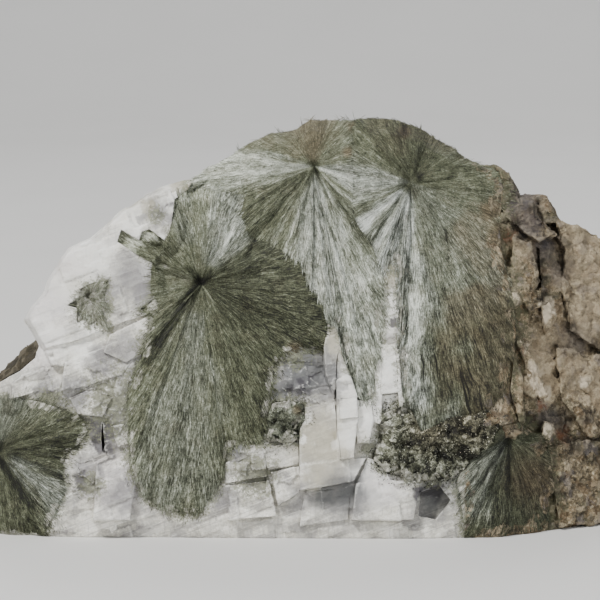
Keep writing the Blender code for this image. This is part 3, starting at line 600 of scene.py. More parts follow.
calcite = Paint("calcite")
milk, milk_height = calcite_look(calcite)
milk = calcite.blend(calcite.mark("plate").rise(0.3, 1.0) * 0.5, milk, colour(152, 150, 147))
milk = calcite.blend(calcite.mark("warm") * 0.8, milk, colour(184, 178, 157))
milk = calcite.blend(calcite.mark("white") * 0.74, milk, colour(255, 254, 247))
milk = calcite.blend(calcite.mark("lilac") * 0.3, milk, colour(218, 208, 212))
# Grey calcite in places, and painted shade on the ledge above the main block and along the lower edge.
milk = calcite.blend(calcite.mark("grey") * 0.66, milk, colour(132, 130, 132))
# Painted shadow: dark grey at the shade spots, on the ledge above the main block and along the lower edge.
milk = calcite.blend(calcite.mark("shade") * 0.8, milk, colour(94, 96, 97))
# Dark stone in places, and painted shadow under the crust's edge and on the ledge above the main block.
milk = calcite.blend(calcite.mark("dark") * 0.85, milk, colour(58, 54, 60))
crumbs = calcite.cloud(1.5, 4.0, 0.7).rise(0.25, 0.75) * 0.5 + calcite.cloud(0.4, 3.0, 0.7).rise(0.3, 0.7) * 0.5
dust = (calcite.mark("moss") * 1.05 + crumbs - 1.0).rise(-0.15, 0.25)
milk = calcite.blend(dust * 0.8, milk, calcite.ramp(crumbs, (0.3, colour(76, 78, 58)), (0.8, colour(134, 136, 110))))
# Painted highlight on the calcite's ridges and edges, and painted shade in its creases below.
milk = calcite.blend(calcite.mark("ridge").rise(0.3, 1.0) * 0.3, milk, colour(246, 245, 238))
milk = calcite.blend((0 - calcite.mark("ridge")).rise(0.3, 1.0) * 0.2, milk, colour(104, 100, 96))
vein_rock, vein_rock_height = skarn_look(calcite)
milk = calcite.blend(calcite.mark("rock"), milk, vein_rock)
calcite.set(Base_Color=milk, Roughness=0.3 + milk_height * 0.35, IOR=1.55)
calcite.set(Subsurface_Weight=0.2, Subsurface_Radius=(0.9, 0.85, 0.8), Subsurface_Scale=1.5 * MM)
calcite.bump(milk_height, 0.3, 0.7)

# Grey calcite in the lumpy zones; the spots on the ledge above the main block and along the lower edge are painted
# shade.
GREY_SPOTS = [
    (-50.0, 29.4, 3.0), (-46.0, 29.0, 3.0), (-40.0, 21.5, 3.6), (-36.0, 25.0, 3.0), (-33.0, 30.0, 2.4),
    (-43.5, 14.5, 3.0), (-19.5, 16.5, 3.6), (-13.0, 18.5, 2.8), (-1.0, 34.0, 4.0), (4.0, 34.0, 4.0),
    (-33.0, 53.0, 4.6), (-31.0, 49.0, 3.4), (-38.0, 50.6, 2.4), (-27.6, 65.0, 2.4), (-31.6, 64.6, 1.4),
    (9.0, 9.0, 5.0), (1.0, 8.0, 2.6), (-6.0, 31.0, 3.0), (0.0, 32.0, 4.4), (3.6, 36.0, 3.0), (-34.0, 37.6, 3.4), (-30.0, 33.0, 3.0),
    (-40.0, 36.0, 2.6), (5.0, 30.0, 3.0), (-16.0, 9.0, 3.0), (-35.0, 9.0, 4.0), (20.5, 42.8, 1.2),
]
# Painted shadow: dark grey where the ledge above the main block and the lower edge of the base cast shade.
PAINTED_SHADE_SPOTS = [
    (-1.0, 33.6, 4.2), (3.4, 32.6, 3.6), (1.4, 36.0, 3.4), (-4.4, 30.6, 2.6), (9.0, 9.4, 3.4),
    (5.0, 8.6, 2.4), (26.6, 8.6, 3.6), (-20.0, 15.0, 3.0), (-14.0, 19.0, 2.2), (-6.6, 26.6, 2.0),
]
# Dark stone in some places; the spots on the ledge above the main block and under the crust's edge are painted
# shadow.
DARK_CALCITE_SPOTS = [
    (-39.6, 21.0, 3.0), (-38.6, 18.6, 2.2), (-41.6, 23.0, 1.6), (0.6, 30.6, 1.2), (-2.6, 30.0, 1.0),
    (-3.4, 35.4, 1.2), (2.0, 32.6, 0.9), (-50.4, 29.0, 1.5), (-30.4, 31.0, 1.3), (-17.8, 16.8, 1.8),
    (-14.6, 19.6, 1.4), (-8.4, 30.0, 1.6), (-7.0, 26.6, 1.2), (-20.6, 12.0, 1.4), (-44.0, 12.0, 1.8),
    (27.0, 10.0, 2.0), (24.6, 9.6, 1.4), (19.6, 43.8, 0.9), (-18.0, 14.4, 1.0), (-16.0, 12.0, 0.9),
    (-23.0, 9.0, 1.8), (-7.4, 33.0, 1.0), (-12.6, 14.0, 1.0), (-26.0, 67.0, 0.9), (-22.0, 65.6, 0.8),
]
WHITE_SPOTS = [
    (-43.0, 57.0, 6.0), (-34.4, 64.0, 3.0), (-49.0, 50.0, 5.0), (-50.0, 40.0, 4.0), (-25.6, 68.0, 2.6),
    (-30.8, 54.4, 1.9), (9.6, 25.0, 2.6), (9.4, 20.0, 2.0), (14.0, 24.0, 4.0), (17.0, 30.0, 3.0),
    (15.0, 12.0, 5.0), (-27.0, 60.4, 1.6), (-42.0, 43.6, 3.0), (0.4, 15.4, 1.0), (0.0, 20.0, 1.0),
    (12.0, 28.0, 3.6), (16.0, 23.0, 4.0), (18.4, 34.0, 3.4), (18.0, 46.0, 4.0), (9.0, 31.0, 2.4),
    (0.6, 24.4, 1.0), (-24.0, 65.6, 2.0), (-44.0, 38.0, 3.0), (-52.0, 45.0, 3.0),
]
LILAC_SPOTS = [(-48.0, 55.0, 4.0), (-51.0, 47.0, 5.0), (-53.0, 38.0, 4.0), (-36.0, 12.0, 6.0), (17.0, 12.0, 4.0)]
MOSS_SPOTS = [
    (-36.0, 27.0, 8.0), (-50.0, 27.0, 4.0), (-30.0, 39.0, 3.4), (-9.0, 13.0, 5.0), (13.6, 18.6, 2.0),
    (-20.0, 70.0, 4.0), (-32.0, 17.0, 4.0), (-1.0, 37.0, 3.0), (19.0, 62.0, 3.0), (-42.0, 11.0, 3.0),
    (-28.6, 65.0, 2.0), (-24.6, 61.0, 2.6),
]
WARM_SPOTS = [
    (4.4, 20.0, 5.6), (5.0, 12.6, 4.0), (-24.0, 71.6, 2.6), (-46.0, 52.0, 4.0), (18.0, 54.0, 4.0),
    (6.4, 40.0, 3.4), (-36.0, 68.0, 4.0), (-30.6, 66.0, 2.0),
]
DUST_REACH = 3.2
LOW_EDGE = 13.0
CRACKS_SHUT = [(-39.6, 20.6, 1.3, 3.4, 8.0), (7.3, 30.0, 0.8, 8.5, 20.0), (-6.8, 12.4, 0.8, 5.0, 20.0)]

vein_points, vein_triangles, vein_open = cut_fine("calcite_vein", lambda points: CALCITE_FINE)
to_growth = far_from_growth(vein_points)
vein_points = roughen(vein_points, vein_triangles, vein_open, calcite_relief)
vein_u, vein_v, vein_w = sheet(vein_points)
for crack_u, crack_v, wide, tall, deepest in CRACKS_SHUT:
    from_crack = vein_u - crack_u
    pinch = np.exp(-((from_crack / wide) ** 2) - ((vein_v - crack_v) / tall) ** 4) * (vein_w < deepest)
    vein_u = vein_u - 0.94 * from_crack * pinch
    vein_points = np.where(pinch[:, None] > 0.01, place(vein_u, vein_v, vein_w), vein_points)
plate_u, plate_v, _, plate_chance = rhombs(vein_u, vein_v, 3.1, 1.9, 13)
mix = np.where(vein_v < LOW_EDGE, 0.8, 0.55)
snap_u = vein_u * mix + plate_u * (1 - mix) + 1.3 * grain(vein_points / MM, 2.6, 4, 8.0)
snap_v = vein_v * mix + plate_v * (1 - mix) + 1.3 * grain(vein_points / MM, 2.6, 4, 18.0)
make_piece(
    "calcite_vein_rock", vein_points, vein_triangles,
    {
        "plate": 0.6 * plate_chance[:, 3] + 0.4 * rhombs(vein_u, vein_v, 8.5, 5.0, 11)[3][:, 3],
        "ridge": ridges(vein_points, vein_triangles),
        "grey": near(snap_u, snap_v, GREY_SPOTS, 0.4),
        "shade": near(snap_u, snap_v, PAINTED_SHADE_SPOTS, 0.5),
        "dark": near(snap_u, snap_v, DARK_CALCITE_SPOTS, 0.35),
        "white": near(snap_u, snap_v, WHITE_SPOTS, 0.4),
        "lilac": near(snap_u, snap_v, LILAC_SPOTS, 0.5),
        "moss": np.maximum(
            0.8 * near(vein_u, vein_v, MOSS_SPOTS, 0.6), 0.85 * np.clip(1 - to_growth / DUST_REACH, 0, 1)
        ),
        "warm": near(snap_u, snap_v, WARM_SPOTS, 0.5),
        "rock": np.clip((vein_u + 0.8 * grain(vein_points / MM, 2.0, 2) - 36.5) / 1.5, 0, 1),
    },
    calcite, "calcite_vein",
)

# Sprays of hedenbergite
# Each grew from one point along the fissure wall as thousands of stiff needles, packed side
# by side. The tone changes by sector, and is partly painted sheen: each sector turns its
# needles another way to the light, and the silvery sheen is painted too.

needle_draw = np.random.default_rng(7)
calcite_tree = tree_of(["calcite_vein"])
skarn_tree = tree_of(["skarn_wall"])
NO_NEIGHBOUR = 2.5 * MM
ROCK_BEGINS_AT = 33.0
SEAT_WIDTH = 3.0
RIM_STEPS = 8
RIM_STEP = 0.25 * MM
RIM_REACH = 0.8 * MM
RIM_PROUD = 0.15 * MM
ROCK_REACH = 2.2
CLEAR_OF_FLOOR = 0.05 * MM


def needle_mesh(middles, along, up, lengths, widths):
    """Four-sided splinters with two sharp ends, all in one mesh."""
    across = np.cross(along, up)
    half = lengths[:, None] / 2 * MM
    side = widths[:, None] / 2 * MM
    ridge = 0.6 * widths[:, None] * MM
    belly = middles - along * half * 0.2
    corners = np.stack(
        (
            middles - along * half, belly - across * side, belly + across * side,
            belly + up * ridge, middles + along * half,
        ),
        1,
    )
    corners[:, :, 2] = np.maximum(corners[:, :, 2], CLEAR_OF_FLOOR)
    faces = np.array([(0, 3, 1), (0, 2, 3), (4, 1, 3), (4, 3, 2)])
    triangles = (faces[None] + 5 * np.arange(len(middles))[:, None, None]).reshape(-1, 3)
    return corners.reshape(-1, 3), triangles


class Rim:
    """The edge of a growth: how near it is, and what lies beyond it."""

    def __init__(self, node, points, triangles, is_open):
        in_open = np.zeros(len(points), bool)
        in_closed = np.zeros(len(points), bool)
        in_open[triangles[is_open].ravel()] = True
        in_closed[triangles[~is_open].ravel()] = True
        self.index = np.nonzero(in_open & in_closed)[0]
        self.start = points.copy()
        others = tree_of([name for name in growths if name != node])
        self.tree = KDTree(len(self.index))
        self.kind = np.zeros(len(self.index), int)
        self.move = np.zeros((len(self.index), 3))
        neighbours = (calcite_tree, skarn_tree, others)
        for i, point in enumerate(points[self.index]):
            self.tree.insert(Vector(point), i)
            found = [tree.find_nearest(Vector(point)) for tree in neighbours]
            self.kind[i] = min(range(3), key=lambda k: found[k][3])
            spot, _, _, distance = found[self.kind[i]]
            if distance > NO_NEIGHBOUR:
                continue
            if self.kind[i] == 2:
                self.move[i] = (np.array(spot) - point) * 0.55
                continue
            for step in range(1, RIM_STEPS + 1):
                raised = Vector(point) + Vector((0, -step * RIM_STEP, 0))
                higher, _, _, distance = neighbours[self.kind[i]].find_nearest(raised)
                if distance < RIM_REACH:
                    spot = higher
            self.move[i] = np.array(spot) + (0, -RIM_PROUD, 0) - point
        self.tree.balance()

    def look(self, points):
        """Distance to the rim in mm and which place of it is nearest."""
        found = [self.tree.find(Vector(point)) for point in points]
        return np.array([hit[2] for hit in found]) / MM, np.array([hit[1] for hit in found])

    def seat(self, points, triangles, is_open):
        """The points with the rim brought down onto its neighbour, and the skin after it."""
        distance, place_of = self.look(points)
        in_open = np.zeros(len(points), bool)
        in_open[triangles[is_open].ravel()] = True
        move = self.move[place_of]
        inward = np.clip(distance / SEAT_WIDTH, 0, 1)
        share = np.where(move[:, 1] < 0, 1 - inward**2, (1 - inward) ** 2) * in_open
        return points + move * share[:, None]

    def host(self, points, reach):
        """How far the neighbour's stone covers the points, and how far that stone is skarn."""
        distance, place_of = self.look(points)
        kind = self.kind[place_of]
        in_wall = sheet(points)[0] > ROCK_BEGINS_AT
        is_rock = (kind == 1) | in_wall
        reach = reach * np.where(in_wall, ROCK_REACH, 1.0)
        covered = np.clip((reach - distance) / 0.7 + 0.5, 0, 1) * (kind < 2)
        return covered, is_rock.astype(float), distance

    def strays(self, centre, count, farthest):
        """Places on the stone outside the rim, thinning outwards, with their normals."""
        outer = self.index[self.kind < 2]
        if len(outer) == 0:
            return np.zeros((0, 3)), np.zeros((0, 3))
        picked = self.start[outer[needle_draw.integers(0, len(outer), count)]]
        u, v, w = sheet(picked)
        away = np.stack((u - centre[0], v - centre[1]), 1)
        away = away / np.maximum(np.linalg.norm(away, axis=1), 1e-6)[:, None]
        far = farthest * needle_draw.random(count) ** 1.8
        u = u + away[:, 0] * far + needle_draw.normal(0, 0.5, count)
        v = v + away[:, 1] * far + needle_draw.normal(0, 0.5, count)
        spots, normals = [], []
        for point in place(u, v, w):
            for tree in (calcite_tree, skarn_tree):
                spot, normal, _, distance = tree.find_nearest(Vector(point))
                if distance < 1.2 * MM and normal.y < -0.5:
                    spots.append(np.array(spot + normal * 0.12 * MM))
                    normals.append(np.array(normal))
                    break
        return np.array(spots).reshape(-1, 3), np.array(normals).reshape(-1, 3)


def sector_tone(angle, radius, sectors):
    """What the sectors add: each is direction, half width (degrees), from, to (mm), change."""
    total = np.zeros(len(angle))
    for direction, half, inner, outer, change in sectors:
        turn = (angle - direction + 180) % 360 - 180
        inside = np.exp(-np.abs(turn / half) ** 3)
        reach = np.clip((radius - inner) / 1.5 + 0.5, 0, 1) * np.clip((outer - radius) / 2.5 + 0.5, 0, 1)
        total += change * inside * reach
    return total


def stroke_tone(u, v, strokes):
    """What the strokes add: each runs from one place to another, with half width and change."""
    total = np.zeros(len(u))
    for u0, v0, u1, v1, half, change in strokes:
        long = math.hypot(u1 - u0, v1 - v0)
        along = np.clip(((u - u0) * (u1 - u0) + (v - v0) * (v1 - v0)) / long**2, 0, 1)
        away = np.hypot(u - u0 - along * (u1 - u0), v - v0 - along * (v1 - v0))
        total += change * np.clip((half * 1.5 - away) / half, 0, 1)
    return total


def polar(u, v, centre):
    return np.degrees(np.arctan2(v - centre[1], u - centre[0])), np.hypot(u - centre[0], v - centre[1])


def streaks(angle, radius, finest, seed):
    """Noise that is long along a ray and narrow across it, from about -1 to 1."""
    turn = np.radians(angle)
    return waves(np.cos(turn) * finest, np.sin(turn) * finest, radius / 7.0 + seed)


def growth_paint(name, streaked):
    """The paint of a growth of hedenbergite, which lets its host show where it is marked."""
    paint = Paint(name)
    speckle = paint.cloud(0.34, 2.0, 0.65).rise(0.3, 0.7)
    # Painted shade in small pits: darker spots with no relief of their own.
    pit_shade = (1 - paint.cloud(0.75, 3.0, 0.65)).rise(0.60, 0.70)
    height = speckle
    shade = paint.mark("tone") + (speckle - 0.5) * 0.24 - pit_shade * 0.22
    if streaked:
        rays = paint.node(
            "ShaderNodeCombineXYZ", None,
            {"X": paint.mark("ray_x"), "Y": paint.mark("ray_y"), "Z": paint.mark("ray_r") / 260.0},
        )
        fine = paint.cloud(1 / 140, 2.0, 0.6, rays).rise(0.3, 0.7)
        sheaf = paint.cloud(1 / 42, 3.0, 0.6, rays)
        clump = paint.cloud(1.8, 3.0, 0.6).rise(0.25, 0.75)
        far_rays = paint.node(
            "ShaderNodeVectorMath", {"operation": "MULTIPLY"}, {0: rays, 1: (1.0, 1.0, 0.25)}
        )
        # Painted shade in the cracks between bundles of needles.
        crack = (1 - paint.cloud(1 / 75, 2.0, 0.5, far_rays)).rise(0.60, 0.66) * paint.mark("crack")
        bite = 1 + paint.mark("silver_sheen") * 0.8
        streak = (fine - 0.5) * 0.30 + (sheaf - 0.5) * 0.40 + (clump - 0.5) * 0.16
        shade = shade + streak * bite - crack * 0.4
        height = speckle * 0.45 + fine * 0.55
    green = paint.ramp(
        shade,
        (0.0, colour(22, 23, 15)), (0.25, colour(69, 72, 52)), (0.5, colour(114, 118, 94)),
        (0.75, colour(158, 162, 140)), (1.0, colour(224, 227, 211)),
    )
    # Colours of the painted silvery sheen of the needles.
    silver_sheen = paint.ramp(
        shade,
        (0.0, colour(32, 34, 30)), (0.3, colour(92, 96, 87)), (0.6, colour(158, 163, 154)),
        (1.0, colour(244, 248, 241)),
    )
    tan = paint.ramp(
        shade,
        (0.0, colour(34, 28, 20)), (0.4, colour(98, 89, 68)), (0.7, colour(146, 134, 106)),
        (1.0, colour(198, 184, 152)),
    )
    shown = paint.blend(paint.mark("silver_sheen"), green, silver_sheen)
    shown = paint.blend(paint.mark("brown"), shown, tan)
    milk, _ = calcite_look(paint)
    milk = paint.blend(paint.cloud(0.8, 4.0, 0.7).rise(0.3, 0.6) * 0.7, milk, colour(112, 114, 92))
    rock, _ = skarn_look(paint)
    host = (paint.mark("host") + (paint.cloud(0.7, 4.0, 0.75) - 0.5) * 1.6).rise(0.4, 0.6)
    shown = paint.blend(host, shown, paint.blend(paint.mark("rock"), milk, rock))
    paint.set(Base_Color=shown, Roughness=0.45 + speckle * 0.3, Specular_IOR_Level=0.45)
    paint.bump(height, 0.16, 0.8)
    return paint


fibre = growth_paint("fibrous_hedenbergite", True)


def make_spray(
    name, node, centres, count, lengths, widths, base, sectors, sheen_sectors=(), brown_sectors=(),
    brown_spots=(), strokes=(), cracks=(), fineness=0.7, spread=6.5, lift=2.0, ragged=(0.0, 1.4),
    droop=0.0, bare_skin=False, strays=0.1, farthest=3.0,
):
    """A spray: its solid's skin, streaked along the rays, and a coat of needles over it."""
    skin_points, skin_triangles, skin_open = cut_fine(node, lambda points: fineness)
    middle = np.mean(centres, 0)
    rim = Rim(node, skin_points, skin_triangles, skin_open)

    def relief(points, normals):
        angle, radius = polar(*sheet(points * MM)[:2], middle)
        return 0.16 * streaks(angle, radius, 22.0, 0.0) + 0.12 * streaks(angle, radius, 48.0, 3.0)

    def reach_of(points):
        share = np.clip(0.35 + 0.9 * grain(points / MM, 3.0, 4, 50.0), 0, 1)
        return ragged[0] + (ragged[1] - ragged[0]) * share

    skin_points = roughen(skin_points, skin_triangles, skin_open, relief)
    skin_points = rim.seat(skin_points, skin_triangles, skin_open)
    corners = skin_points[skin_triangles[skin_open]]
    away = facings(skin_points, skin_triangles[skin_open])
    areas = np.linalg.norm(away, axis=1)
    facing = unit(away)
    chosen = needle_draw.choice(len(areas), count, p=areas / areas.sum())
    shares = needle_draw.dirichlet((1, 1, 1), count)
    middles = (corners[chosen] * shares[:, :, None]).sum(1)
    normals = facing[chosen]
    host, rock, distance = rim.host(middles, reach_of(middles))
    kept = (host < 0.5) | (needle_draw.random(count) < 0.2) | bare_skin
    middles, normals, distance = middles[kept], normals[kept], distance[kept]
    stray_spots, stray_normals = rim.strays(middle, int(strays * count), farthest)
    middles = np.concatenate((middles, stray_spots))
    normals = np.concatenate((normals, stray_normals))
    stray = np.arange(len(middles)) >= len(distance)
    distance = np.concatenate((distance, np.full(len(stray_spots), 99.0)))
    count = len(middles)
    u, v, w = sheet(middles)

    # Each needle runs along the ray from the nearer of the spray's centres
    first, last = np.array(centres[0]), np.array(centres[-1])
    uses_last = ((u - middle[0]) * (last - first)[0] + (v - middle[1]) * (last - first)[1]) > 0
    centre_u = np.where(uses_last, last[0], first[0])
    centre_v = np.where(uses_last, last[1], first[1])
    radius = np.hypot(u - centre_u, v - centre_v)
    sag = droop * np.clip((radius - 8) / 25, 0, 1) * (v < centre_v)
    ray_u = (u - centre_u) * (1 - sag)
    ray_v = v - centre_v
    bundle = 14.0 * grain(np.stack((u, v, 0 * u), 1), 4.0, 2, 60.0)
    turn = np.radians(needle_draw.normal(0, spread, count) * np.where(stray, 3.0, 1.0) + bundle)
    turned_u = ray_u * np.cos(turn) - ray_v * np.sin(turn)
    turned_v = ray_u * np.sin(turn) + ray_v * np.cos(turn)
    long = np.maximum(np.hypot(turned_u, turned_v), 1e-6)
    ahead = unit(place(u + turned_u / long, v + turned_v / long, w) - middles)
    flat = ahead - (ahead * normals).sum(1)[:, None] * normals
    raised = np.tan(np.radians(needle_draw.uniform(-0.8, lift, count)))[:, None]
    along = unit(unit(flat) + normals * raised)
    up = unit(normals - (normals * along).sum(1)[:, None] * along)
    length = needle_draw.uniform(*lengths, count) * np.clip(0.3 + radius / 12, 0.3, 1.0)
    length = np.minimum(length, 1.6 * radius + 0.3) * np.where(stray, 0.6, 1.0)
    width = needle_draw.uniform(*widths, count) * np.clip(0.55 + radius / 25, 0.55, 1.1)
    over_rim = (distance < 2.0) & (needle_draw.random(count) < 0.4)
    outward = np.where(over_rim, needle_draw.uniform(0.2, 1.5, count), 0.0)[:, None] * MM
    points, triangles = needle_mesh(middles + up * 0.03 * MM + along * outward, along, up, length, width)

    # Tones, by sector and streak, and a touch of chance for each needle
    def marks_at(u, v, chance):
        angle, radius = polar(u, v, middle)
        spots = np.stack((u, v, 0 * u), 1)
        bent = angle + np.degrees(0.5 * grain(spots, 4.0, 2, 70.0) / np.maximum(radius, 3.0))
        wavy = angle + 14.0 * streaks(angle, radius, 9.0, 5.0)
        # Sector tones: the needles' own tone, and painted sheen where a sector's needles face the light.
        value = base + sector_tone(wavy, radius, sectors) + stroke_tone(u, v, strokes)
        value += 0.13 * streaks(angle, radius, 20.0, 1.0)
        # Painted shade at each centre of a spray, where the needles part.
        nearest = np.min([np.hypot(u - spot[0], v - spot[1]) for spot in centres], 0)
        value -= 0.32 * np.exp(-(nearest**2))
        earthy = sector_tone(wavy, radius, brown_sectors) + near(u, v, brown_spots, 0.6)
        return {
            "tone": value + chance,
            # Painted silky sheen, by sector.
            "silver_sheen": np.clip(sector_tone(wavy, radius, sheen_sectors), 0, 1),
            "brown": np.clip(earthy + 0.2 * grain(spots, 3.0, 2, 30.0), 0, 1),
            "crack": near(u, v, cracks, 0.5),
            "ray_x": np.cos(np.radians(bent)),
            "ray_y": np.sin(np.radians(bent)),
            "ray_r": radius,
        }

    tips_u, tips_v, _ = sheet(points)
    skin_u, skin_v, _ = sheet(skin_points)
    chance = np.repeat(needle_draw.normal(0.0, 0.11, count), 5)
    of_needles = marks_at(tips_u, tips_v, chance)
    of_skin = marks_at(skin_u, skin_v, -0.07)
    skin_host, skin_rock, _ = rim.host(skin_points, reach_of(skin_points))
    skin_host = np.maximum(skin_host, 2.0 * bare_skin)
    of_skin["host"], of_needles["host"] = skin_host, np.zeros(5 * count)
    of_skin["rock"], of_needles["rock"] = skin_rock, np.zeros(5 * count)
    marks = {key: np.concatenate((of_skin[key], of_needles[key])) for key in of_skin}
    make_piece(
        name, np.concatenate((skin_points, points)),
        np.concatenate((skin_triangles, triangles + len(skin_points))), marks, fibre, node,
    )


make_spray(
    "left_needle_spray", "hedenbergite_spray_left", [(-19.8, 51.4)], 32000, (0.7, 2.3),
    (0.07, 0.14), 0.46,
    sectors=[
        (72, 24, 4, 24, 0.15), (115, 16, 3, 20, 0.04), (182, 30, 0, 16, 0.06),
        (226, 9, 1, 18, -0.14), (268, 20, 4, 50, 0.0), (322, 26, 2, 40, -0.19),
        (8, 30, 1, 30, -0.16), (292, 6, 12, 40, -0.10), (38, 8, 4, 22, -0.05), (235, 12, 18, 40, 0.05),
    ],
    sheen_sectors=[(62, 22, 4, 24, 0.6), (262, 14, 6, 46, 0.35), (110, 12, 8, 22, 0.3)],
    brown_spots=[(-1.0, 38.0, 1.4)],
    strokes=[
        (-20.0, 50.9, -23.0, 47.8, 0.16, 0.4), (-19.5, 50.9, -17.0, 47.2, 0.16, 0.3),
        (-20.4, 51.4, -30.6, 35.6, 0.9, -0.28), (-19.6, 51.6, -22.4, 54.6, 0.5, -0.25),
        (-19.4, 51.6, -17.8, 53.6, 0.5, -0.25), (-21.2, 67.4, -20.8, 66.0, 0.4, -0.2),
        (-13.2, 71.0, -12.8, 68.0, 0.5, -0.2), (-16.0, 57.0, -13.0, 63.0, 0.5, 0.25),
        (-37.4, 62.2, -33.0, 59.2, 1.8, 0.42), (-23.4, 68.6, -20.0, 69.4, 1.4, 0.2),
        (-7.4, 53.2, -5.0, 53.4, 0.5, 0.3), (-10.6, 57.0, -8.4, 61.0, 0.5, -0.2),
        (-31.4, 61.6, -30.6, 61.0, 0.8, 0.4), (-29.8, 60.6, -28.8, 60.2, 0.8, 0.4),
    ],
    cracks=[(-28.0, 38.0, 3.0), (-16.0, 48.0, 5.0), (-26.0, 58.0, 3.0)],
)
make_spray(
    "middle_needle_spray", "hedenbergite_spray_middle", [(2.8, 74.8)], 25000, (0.7, 2.6),
    (0.07, 0.14), 0.57,
    sectors=[
        (180, 13, 1, 26, 0.18), (95, 34, 1, 16, -0.07), (222, 19, 2, 26, -0.18),
        (258, 11, 3, 34, 0.14), (285, 13, 2, 26, 0.26), (285, 13, 26, 48, 0.05), (340, 14, 1, 14, 0.26),
        (303, 5, 8, 22, -0.10), (150, 10, 4, 20, -0.04),
    ],
    sheen_sectors=[(182, 16, 0, 26, 0.35), (276, 26, 2, 50, 0.6), (345, 20, 0, 14, 0.7)],
    brown_spots=[(11.0, 83.0, 1.2), (9.6, 77.6, 1.0)],
    brown_sectors=[(95, 36, 1, 16, 0.75), (150, 14, 3, 20, 0.25)],
    strokes=[
        (4.0, 67.0, 7.0, 60.0, 0.35, -0.35), (2.4, 73.6, -0.6, 61.0, 0.4, -0.25),
        (3.2, 74.0, 5.4, 68.6, 0.35, -0.3), (3.4, 74.4, 11.0, 71.6, 0.3, 0.25),
        (4.4, 73.0, 12.0, 66.0, 0.35, 0.2), (2.0, 74.6, -12.0, 76.8, 0.5, 0.15),
        (2.0, 74.2, -14.0, 73.2, 0.45, 0.15), (10.6, 56.0, 15.0, 42.0, 0.5, 0.12),
    ],
    cracks=[(3.0, 74.0, 6.0), (-6.0, 66.0, 6.0), (6.0, 64.0, 5.0)],
)
make_spray(
    "right_needle_spray", "hedenbergite_spray_right", [(20.6, 70.4), (23.8, 72.8)], 32000,
    (0.7, 2.5), (0.07, 0.14), 0.46,
    sectors=[
        (90, 42, 2, 18, -0.16), (180, 20, 1, 14, 0.26), (222, 9, 2, 14, 0.34),
        (243, 14, 2, 22, 0.26), (290, 9, 22, 56, -0.06),
        (310, 20, 3, 34, 0.0), (5, 18, 2, 18, -0.02), (338, 12, 4, 20, 0.03),
        (300, 30, 32, 56, -0.10),
    ],
    sheen_sectors=[
        (221, 9, 2, 16, 0.9), (256, 21, 2, 56, 0.9), (180, 22, 0, 16, 0.6), (310, 30, 0, 30, 0.35),
    ],
    brown_spots=[(41.0, 60.5, 2.6), (21.0, 81.6, 1.0), (38.0, 66.0, 1.6)],
    brown_sectors=[(294, 12, 24, 58, 0.6), (60, 30, 8, 20, 0.35), (322, 20, 12, 44, 0.5), (110, 20, 6, 16, 0.3)],
    strokes=[
        (20.4, 70.0, 11.6, 62.0, 0.9, 0.15), (20.0, 69.0, 14.0, 59.0, 0.4, -0.3),
        (21.0, 58.0, 22.6, 50.0, 0.45, -0.3), (29.2, 62.4, 29.3, 60.2, 0.3, -0.4),
        (20.8, 82.4, 20.4, 81.2, 0.6, -0.3), (21.8, 71.2, 22.8, 72.0, 0.5, 0.12),
        (22.2, 67.0, 23.0, 48.0, 1.5, 0.24), (23.0, 48.0, 22.8, 28.0, 1.9, 0.26),
        (21.0, 50.0, 21.4, 40.0, 0.35, -0.25), (24.4, 36.0, 24.6, 29.0, 0.35, -0.3),
    ],
    cracks=[
        (26.0, 34.0, 5.0), (29.0, 31.0, 5.0), (24.4, 42.0, 3.0), (33.0, 37.0, 3.5), (22.0, 55.0, 4.0),
        (34.0, 30.0, 5.0), (20.0, 68.0, 5.0), (28.0, 46.0, 4.0),
    ],
    droop=0.5, ragged=(0.0, 2.0),
)
make_spray(
    "lower_left_needle_spray", "hedenbergite_spray_lower_left", [(-60.4, 18.0)], 11500, (0.7, 2.6),
    (0.07, 0.15), 0.37,
    sectors=[
        (25, 24, 2, 20, -0.02), (-2, 8, 3, 18, -0.14), (-35, 12, 3, 24, 0.12), (-62, 10, 2, 24, -0.10),
        (80, 30, 3, 12, 0.12),
    ],
    sheen_sectors=[(-38, 16, 3, 24, 0.7), (80, 30, 0, 14, 0.4)],
    strokes=[(-58.0, 17.0, -46.0, 12.0, 0.6, -0.25), (-60.0, 16.0, -54.0, 7.0, 0.7, -0.3)],
    ragged=(0.0, 1.8),
)
make_spray(
    "lower_right_needle_spray", "hedenbergite_spray_lower_right", [(41.6, 20.6)], 9500, (0.7, 2.8),
    (0.07, 0.15), 0.31,
    sectors=[(225, 16, 2, 16, 0.10), (262, 10, 2, 28, -0.10), (290, 14, 2, 28, -0.04), (248, 5, 2, 20, 0.12)],
    sheen_sectors=[(232, 24, 1, 18, 0.6)],
    brown_spots=[(47.0, 12.0, 5.0)],
    strokes=[(41.0, 19.4, 36.0, 11.0, 0.4, -0.25), (41.8, 19.0, 41.6, 9.0, 0.4, -0.2)],
    ragged=(0.0, 1.8),
)
make_spray(
    "needle_tuft", "hedenbergite_tuft", [(-42.0, 48.0)], 1000, (1.3, 3.2), (0.12, 0.24), 0.72,
    sectors=[(80, 40, 2, 9, -0.06)], lift=4.0, spread=9.0, fineness=0.5, bare_skin=True, strays=0.15,
    farthest=1.2,
)

# Crusts
# Granular growths below the right spray and beside the left one: small dark grains with
# pale ones between them, set at every angle.

granular = growth_paint("granular_hedenbergite", False)


